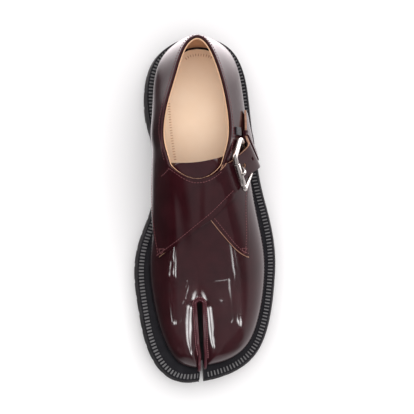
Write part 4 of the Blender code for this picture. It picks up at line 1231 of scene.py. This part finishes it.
# Keeper: a loop round strap and tail, past their edges by a share of the width
KEEPER_BEYOND = 0.10
KEEPER_COLUMNS = 13
KEEPER_ROWS = 7
rings = []
for station in np.linspace(KEEPER_STATION - KEEPER_HALF, KEEPER_STATION + KEEPER_HALF, KEEPER_ROWS):
    over_strap, _ = strap_row(station, KEEPER_COLUMNS, GAP + KEEPER_T, KEEPER_BEYOND)
    under_strap, _ = strap_row(station, KEEPER_COLUMNS, -(QUARTER + GAP + KEEPER_T), KEEPER_BEYOND)
    rings.append(np.concatenate([over_strap, under_strap[::-1], over_strap[:1]]))
keeper_bm = bmesh.new()
add_grid(keeper_bm, np.array(rings), flip=True)
weld(keeper_bm)
sheet("keeper_loop", keeper_bm, (LEATHER, LINING, DARK_EDGE), "strap_keeper", KEEPER_T)

# Elastic tab: its sections and shares
TAB_SECTIONS = np.linspace(4.60, 4.86, 8)
TAB_SHARES = np.linspace(0.70, 0.85, 8)
tab_bm = bmesh.new()
add_grid(tab_bm, np.array([over(t, TAB_SHARES, 1, TAB_LIFT) for t in TAB_SECTIONS]), flip=True)
sheet("elastic_webbing", tab_bm, (ELASTIC, ELASTIC, ELASTIC), "elastic_tab", CHAPE_T, 0.2)


# Rolled seam along the cleft
BEAD_RISES = (2.0, 20.0, 40.0, 62.0, 84.0)
BEAD_TURNS = (0.0, 35.0, 65.0)
BEAD_POINTS = 150
BEAD_SIDES = 12


def rest_on(tree, base, direction, distance):
    """Place nearest to base along a direction that keeps a distance from the surface in the tree."""
    base = np.asarray(base, float)
    direction = unit(np.asarray(direction, float))
    place = base + direction * REACH
    for run in np.arange(REACH, 0.0, -RAY_STEP):
        trial = base + direction * run
        if tree.find_nearest(world(trial))[3] < distance * MM:
            break
        place = trial
    return place


def binding_path(tree):
    """Middle line of the rolled seam: up the front of one lobe, round the cleft, down the other."""
    distance = BEAD_R + BEAD_CLEAR
    start = CENTRE_LINE(CLEFT_START)[0, :2]
    front = CENTRE_LINE(LAST_SECTION)[0, :2]
    foot = float(welt_height(front[1])) + BEAD_R + 2.0 * GAP
    radius = CLEFT_BACK + BEAD_OUT
    turn = start[1] - BEAD_R - GAP + radius
    halves = []
    for side in (1, -1):
        half = []
        root = (front[0] + side * (CLEFT_FRONT + BEAD_OUT), front[1] - BEAD_ROOT, foot)
        for rise in np.radians(BEAD_RISES):
            half.append(rest_on(tree, root, (0.0, math.cos(rise), math.sin(rise)), distance))
        for t in BEAD_SECTIONS:
            x, s = CENTRE_LINE(t)[0, :2]
            out = float(cleft_half(t)) + BEAD_OUT
            half.append(rest_on(tree, (x + side * out, s, foot), UP, distance))
        for angle in np.radians(BEAD_TURNS):
            place = (start[0] + side * radius * math.cos(angle), turn - radius * math.sin(angle), foot)
            half.append(rest_on(tree, place, UP, distance))
        halves.append(np.array(half))
    apex = rest_on(tree, (start[0], turn - radius, foot), UP, distance)
    return np.concatenate([halves[0], apex[None], halves[1][::-1]])


bead = binding_path(UPPER_TREE)
bead_line = Curve(np.linspace(0.0, 1.0, len(bead)), bead)(np.linspace(0.0, 1.0, BEAD_POINTS))
bead_bm = bmesh.new()
tube(bead_bm, bead_line, BEAD_R, BEAD_SIDES)
binding = piece("cleft_piping", bead_bm, (BINDING,), ("cleft_binding",))

# Cut edge of the facing, rounded and bare
FACING_SINK = 0.45 * QUARTER
FACING_R = 0.34 * QUARTER
FACING_SIDES = 10
edge_bm = bmesh.new()
tube(edge_bm, LATERAL_GRID[FACING_ROWS:, -1] - UP * FACING_SINK, FACING_R, FACING_SIDES)
piece("facing_edge", edge_bm, (RAW_EDGE,))

# Stitching: spacing, length and radius of each kind, and how a stitch rises and swells along its length
STITCH_PITCH = 2.3
STITCH_LENGTH = 1.6
THREAD_R = 0.30
STITCH_AT = np.array([-0.5, -0.25, 0.25, 0.5])
STITCH_LIFT = (-0.6, 0.45, 0.45, -0.6)
STITCH_SWELL = (0.7, 1.0, 1.0, 0.7)
THREAD_SIDES = 6
SEAM_POINTS = 160
FACING_POINTS = 120
STRAP_POINTS = 200
SEAM_ABOVE = 0.05
SEAM_FROM = 4.9
EDGE_INSET = 2.6
COLLAR_SHARE = 0.93
COLLAR_RUN = (0.25, 5.75)
PIPING_STITCH = 0.95
PIPING_PITCH = 1.6
PIPING_R = 0.42
PIPING_ASIDE = BEAD_R + 0.55
PIPING_FRONT = 268.0
CLEFT_MIDDLE = 10.4
BARTACK = 2.2
BARTACK_PITCH = 1.5
BARTACK_LENGTH = 1.3
BARTACK_POINTS = 12
LATERAL_SEAM_END = 8.22
MEDIAL_SEAM_END = 8.45
# Sewn triangles at the front ends of the quarters, and the marks on the footbed: x, s
BARTACK_INNER = (-34.0, 181.5)
BARTACK_OUTER = (32.5, 181.0)
INSOLE_SIDE = ((-27.5, 57.0), (-25.3, 81.5), (-21.9, 104.6))
INSOLE_HEEL = ((-14.0, 21.0), (-8.0, 17.6), (2.0, 17.4), (8.5, 19.5))
MARK_PITCH = 2.2
MARK_LENGTH = 2.6
MARK_START = 1.0
MARK_POINTS = 60
MARK_FILL = 0.9
# Row of the inner panel that the stitches beside the throat follow, from a column of its lower part on
THROAT_ROW = 2
THROAT_COLUMN = 12
DOWN = Vector((0.0, 0.0, -1.0))
ABOVE = 160.0


def faces_of(obj):
    return BVHTree.FromObject(obj, bpy.context.evaluated_depsgraph_get())


def on_piece(tree, points, down=False):
    """Places and normals on a piece, straight below the points or nearest to them, in metres."""
    line = []
    for p in points:
        hit = tree.ray_cast(world((p[0], p[1], ABOVE)), DOWN) if down else tree.find_nearest(world(p))
        if hit[0] is not None:
            line.append((hit[0], hit[1]))
    return np.array([a for a, _ in line]), np.array([b for _, b in line])


def sew(bm, line, pitch=STITCH_PITCH, length=STITCH_LENGTH, radius=THREAD_R):
    """Row of stitches along places and normals: each a short thread that dips at both ends."""
    places, normals = line
    run = run_along(places) / MM
    cos, sin = circle(THREAD_SIDES)
    for middle in np.arange(0.5 * pitch, run[-1], pitch):
        spots = sampled(middle + length * STITCH_AT, run, places)
        up = unit(sampled(middle, run, normals))
        across = np.cross(unit(spots[-1] - spots[0]), up)
        loops = []
        for spot, lift, swell in zip(spots, STITCH_LIFT, STITCH_SWELL):
            ring = up * lift + (across * cos + up * sin) * swell
            loops.append([bm.verts.new(p) for p in spot + ring * (radius * MM)])
        skin(bm, loops[::-1], caps=False)


def moved_plan(edge, distance, count):
    """Plan line beside an edge, to its heel side by a distance."""
    table = np.array(edge, float)
    x = np.linspace(table[0, 0], table[-1, 0], count)
    plan = np.stack([x, Curve(table[:, 0], table[:, 1])(x)], 1)
    aside = beside(unit(np.gradient(plan, axis=0)))
    return plan + aside * np.where(aside[:, 1:] > 0.0, -distance, distance)


def seam_line(table, side, last):
    """Line on a quarter a little above its lower edge."""
    t = np.linspace(SEAM_FROM, last, SEAM_POINTS)
    share = low_share(t, table) + SEAM_ABOVE
    return np.array([over(a, b, side, PANEL_LIFT)[0] for a, b in zip(t, share)])


def collar_line(side):
    t = np.linspace(*COLLAR_RUN, SEAM_POINTS)
    return np.array([over(a, COLLAR_SHARE, side, PANEL_LIFT)[0] for a in t])


def piping_line():
    """Line on the upper along the outer side of the rolled seam."""
    aside = beside(unit(np.gradient(bead_line, axis=0)[:, :2]))
    away = np.sign(((bead_line[:, :2] - CENTRE_LINE(CLEFT_MIDDLE)[0, :2]) * aside).sum(1))
    plan = bead_line[:, :2] + aside * (away * PIPING_ASIDE)[:, None]
    return plan[bead_line[:, 1] < PIPING_FRONT]


def insole_marks(bm, plan):
    """Short threads across a line on the footbed."""
    fine = Curve(np.arange(len(plan)), np.array(plan))(np.linspace(0.0, len(plan) - 1.0, MARK_POINTS))
    along = np.gradient(fine, axis=0)
    run = run_along(fine)
    for at in np.arange(MARK_START, run[-1], MARK_PITCH):
        here = sampled(at, run, fine)
        half = beside(unit(sampled(at, run, along))) * (0.5 * MARK_LENGTH)
        z = float(welt_height(here[1])) + GAP + INSOLE_T
        ends = np.array([world((*(here - half), z)), world((*(here + half), z))])
        sew(bm, (ends, np.array([UP, UP])), MARK_LENGTH, MARK_FILL * MARK_LENGTH)


bpy.context.view_layer.update()
LATERAL_FACES = faces_of(lateral)
MEDIAL_FACES = faces_of(medial)
_, lower_panel, upper_panel, _ = MEDIAL_GRIDS
throat_row = np.concatenate([lower_panel[THROAT_ROW][THROAT_COLUMN:], upper_panel[THROAT_ROW][1:]])
thread_bm = bmesh.new()
for line in (
        on_piece(LATERAL_FACES, seam_line(LATERAL_LOW, 1, LATERAL_SEAM_END)),
        on_piece(MEDIAL_FACES, seam_line(MEDIAL_LOW, -1, MEDIAL_SEAM_END)),
        on_piece(LATERAL_FACES, moved_plan(FACING, EDGE_INSET, FACING_POINTS), True),
        on_piece(MEDIAL_FACES, moved_plan(STRAP_FRONT, EDGE_INSET, STRAP_POINTS), True),
        on_piece(LATERAL_FACES, collar_line(1)),
        on_piece(MEDIAL_FACES, collar_line(-1)),
        on_piece(MEDIAL_FACES, throat_row)):
    sew(thread_bm, line)
piping_bm = bmesh.new()
piping_row = on_piece(faces_of(upper), piping_line(), True)
sew(piping_bm, piping_row, PIPING_PITCH, PIPING_STITCH, PIPING_R)
piece("piping_stitching", piping_bm, (PIPING_THREAD,))
for faces, (x, s) in ((MEDIAL_FACES, BARTACK_INNER), (LATERAL_FACES, BARTACK_OUTER)):
    corners = [(x - BARTACK, s - BARTACK), (x + BARTACK, s - BARTACK), (x, s + BARTACK)]
    for a, b in zip(corners, corners[1:] + corners[:1]):
        tack = on_piece(faces, np.linspace(a, b, BARTACK_POINTS), True)
        sew(thread_bm, tack, BARTACK_PITCH, BARTACK_LENGTH)
piece("stitching", thread_bm, (THREAD,))
mark_bm = bmesh.new()
for marks in (INSOLE_SIDE, INSOLE_HEEL):
    insole_marks(mark_bm, marks)
piece("insole_stitching", mark_bm, (TAN_THREAD,))

# Stage: floor, light and camera
FLOOR_HALF = 6.0
FLOOR_SINK = 0.0002
floor_mesh = bpy.data.meshes.new("floor")
corners = [(x * FLOOR_HALF, y * FLOOR_HALF, -FLOOR_SINK) for x, y in ((-1, -1), (1, -1), (1, 1), (-1, 1))]
floor_mesh.from_pydata(corners, [], [(0, 1, 2, 3)])
floor = bpy.data.objects.new("floor", floor_mesh)
scene = bpy.context.scene
scene.collection.objects.link(floor)
floor_mat, floor_tree = material("pale_floor")
FLOOR_LOOK = {"Base Color": (0.95, 0.95, 0.95, 1.0), "Roughness": 0.9, "Specular IOR Level": 0.1}
surface(floor_tree, FLOOR_LOOK, {})
floor_mesh.materials.append(floor_mat)
floor.visible_glossy = False

scene.view_settings.view_transform = "Standard"
surround = bpy.data.worlds.new("studio")
scene.world = surround
surround.use_nodes = True
sky = surround.node_tree
toward = node(sky, "ShaderNodeTexCoord")
parts = node(sky, "ShaderNodeSeparateXYZ")
sky.links.new(toward.outputs["Generated"], parts.inputs["Vector"])
east, north, height = (parts.outputs[axis] for axis in "XYZ")


def combined(operation, first, second):
    made = node(sky, "ShaderNodeMath", operation=operation)
    sky.links.new(first, made.inputs[0])
    sky.links.new(second, made.inputs[1])
    return made.outputs["Value"]


# Brightness of the room: height from straight down to overhead, then value
ROOM = (
    (0.0, 0.9), (0.04, 0.75), (0.30, 0.70), (0.55, 0.60),
    (0.66, 0.14), (0.765, 0.08), (0.785, 0.32), (1.0, 0.38),
)
ROOM_TINT = (1.0, 0.92, 0.94, 1.0)
high_up = ramp(sky, spread(sky, height, 0.0, 1.0, -1.0, 1.0), [(at, (value,) * 3) for at, value in ROOM])
# The inner side of the shoe faces a dark wall, its heel a bright low panel
dark_wall = spread(sky, east, 0.04, 1.0, -0.50, -0.22)
behind = spread(sky, north, 0.0, 2.2, 0.26, 0.44)
below = spread(sky, height, 0.0, 1.0, 0.45, 0.15)
brightness = combined("ADD", combined("MULTIPLY", high_up, dark_wall), combined("MULTIPLY", behind, below))
background = sky.nodes["Background"]
background.inputs["Color"].default_value = ROOM_TINT
sky.links.new(brightness, background.inputs["Strength"])


def soft_box(name, place, target, size, power, mirrored=True):
    """Area light; one that isn't mirrored lights the floor and leather but shows in no reflection."""
    light = bpy.data.lights.new(name, "AREA")
    light.shape = "RECTANGLE"
    light.size, light.size_y = size
    light.energy = power
    obj = bpy.data.objects.new(name, light)
    obj.location = place
    direction = Vector(target) - Vector(place)
    obj.rotation_euler = direction.to_track_quat("-Z", "Y").to_euler()
    obj.visible_glossy = mirrored
    obj.visible_camera = False
    scene.collection.objects.link(obj)
    return obj


# Narrow boxes that show in the polished toe only: name, point they aim at in mm, direction from it,
# length along the shoe, height, brightness, beam in degrees
GLINT_REACH = 0.40
GLINTS = (
    ("inner_left_a", (-17, -100, 60.5), (0.62, -0.34, 0.71), 0.09, 0.14, 20.0, 17),
    ("inner_left_b", (-15, -105, 59), (0.80, -0.32, 0.51), 0.10, 0.14, 22.0, 17),
    ("inner_right_a", (3, -94, 61), (-0.56, -0.42, 0.72), 0.09, 0.14, 20.0, 17),
    ("inner_right_b", (2, -100, 59.5), (-0.75, -0.41, 0.52), 0.10, 0.14, 22.0, 17),
    ("outer_left", (-29, -93, 60.5), (-0.90, -0.30, 0.31), 0.10, 0.07, 12.0, 9),
    ("outer_right_a", (16.5, -65, 67.5), (0.19, -0.36, 0.91), 0.06, 0.05, 13.0, 8),
    ("outer_right_b", (17.5, -95, 63), (0.08, -0.38, 0.92), 0.06, 0.05, 12.0, 8),
)
toe_pieces = bpy.data.collections.new("toe_pieces")
for obj in (upper, binding):
    toe_pieces.objects.link(obj)
for name, spot, away, length, tall, glow, beam in GLINTS:
    spot = np.array(spot) * MM
    half = math.radians(0.5 * beam)
    narrowing = math.tan(half) / (math.tan(half) - half)
    power = glow * math.pi * length * tall / narrowing
    place = spot + GLINT_REACH * unit(np.array(away))
    glint = soft_box(name, tuple(place), tuple(spot), (length, tall), power)
    glint.data.spread = 2.0 * half
    glint.light_linking.receiver_collection = toe_pieces
    glint.visible_diffuse = False
# Ceiling: height and width in metres, power in watts
CEILING_Z = 2.2
CEILING_WIDTH = 3.0
CEILING_POWER = 70.0
soft_box("ceiling", (0.0, 0.0, CEILING_Z), (0.0, 0.0, 0.0), (CEILING_WIDTH,) * 2, CEILING_POWER, False)

# Camera: place, point it looks at, width of the sensor in mm, and focal length as a share of it
CAMERA_AT = Vector((-0.0649, -0.0777, 1.2))
AIM = Vector((0.0, 0.0, 0.042))
SENSOR = 36.0
FOCAL_SHARE = 1410.0 / 414.0
camera_data = bpy.data.cameras.new("camera")
camera_data.sensor_width = SENSOR
camera_data.lens = SENSOR * FOCAL_SHARE
camera_data.clip_start = 0.05
camera = bpy.data.objects.new("camera", camera_data)
camera.location = CAMERA_AT
look = (AIM - CAMERA_AT).normalized()
right = look.cross(Vector((0.0, 1.0, 0.0))).normalized()
turn = np.array([right, right.cross(look), -look]).T
camera.rotation_euler = Matrix(turn.tolist()).to_euler()
scene.collection.objects.link(camera)
scene.camera = camera
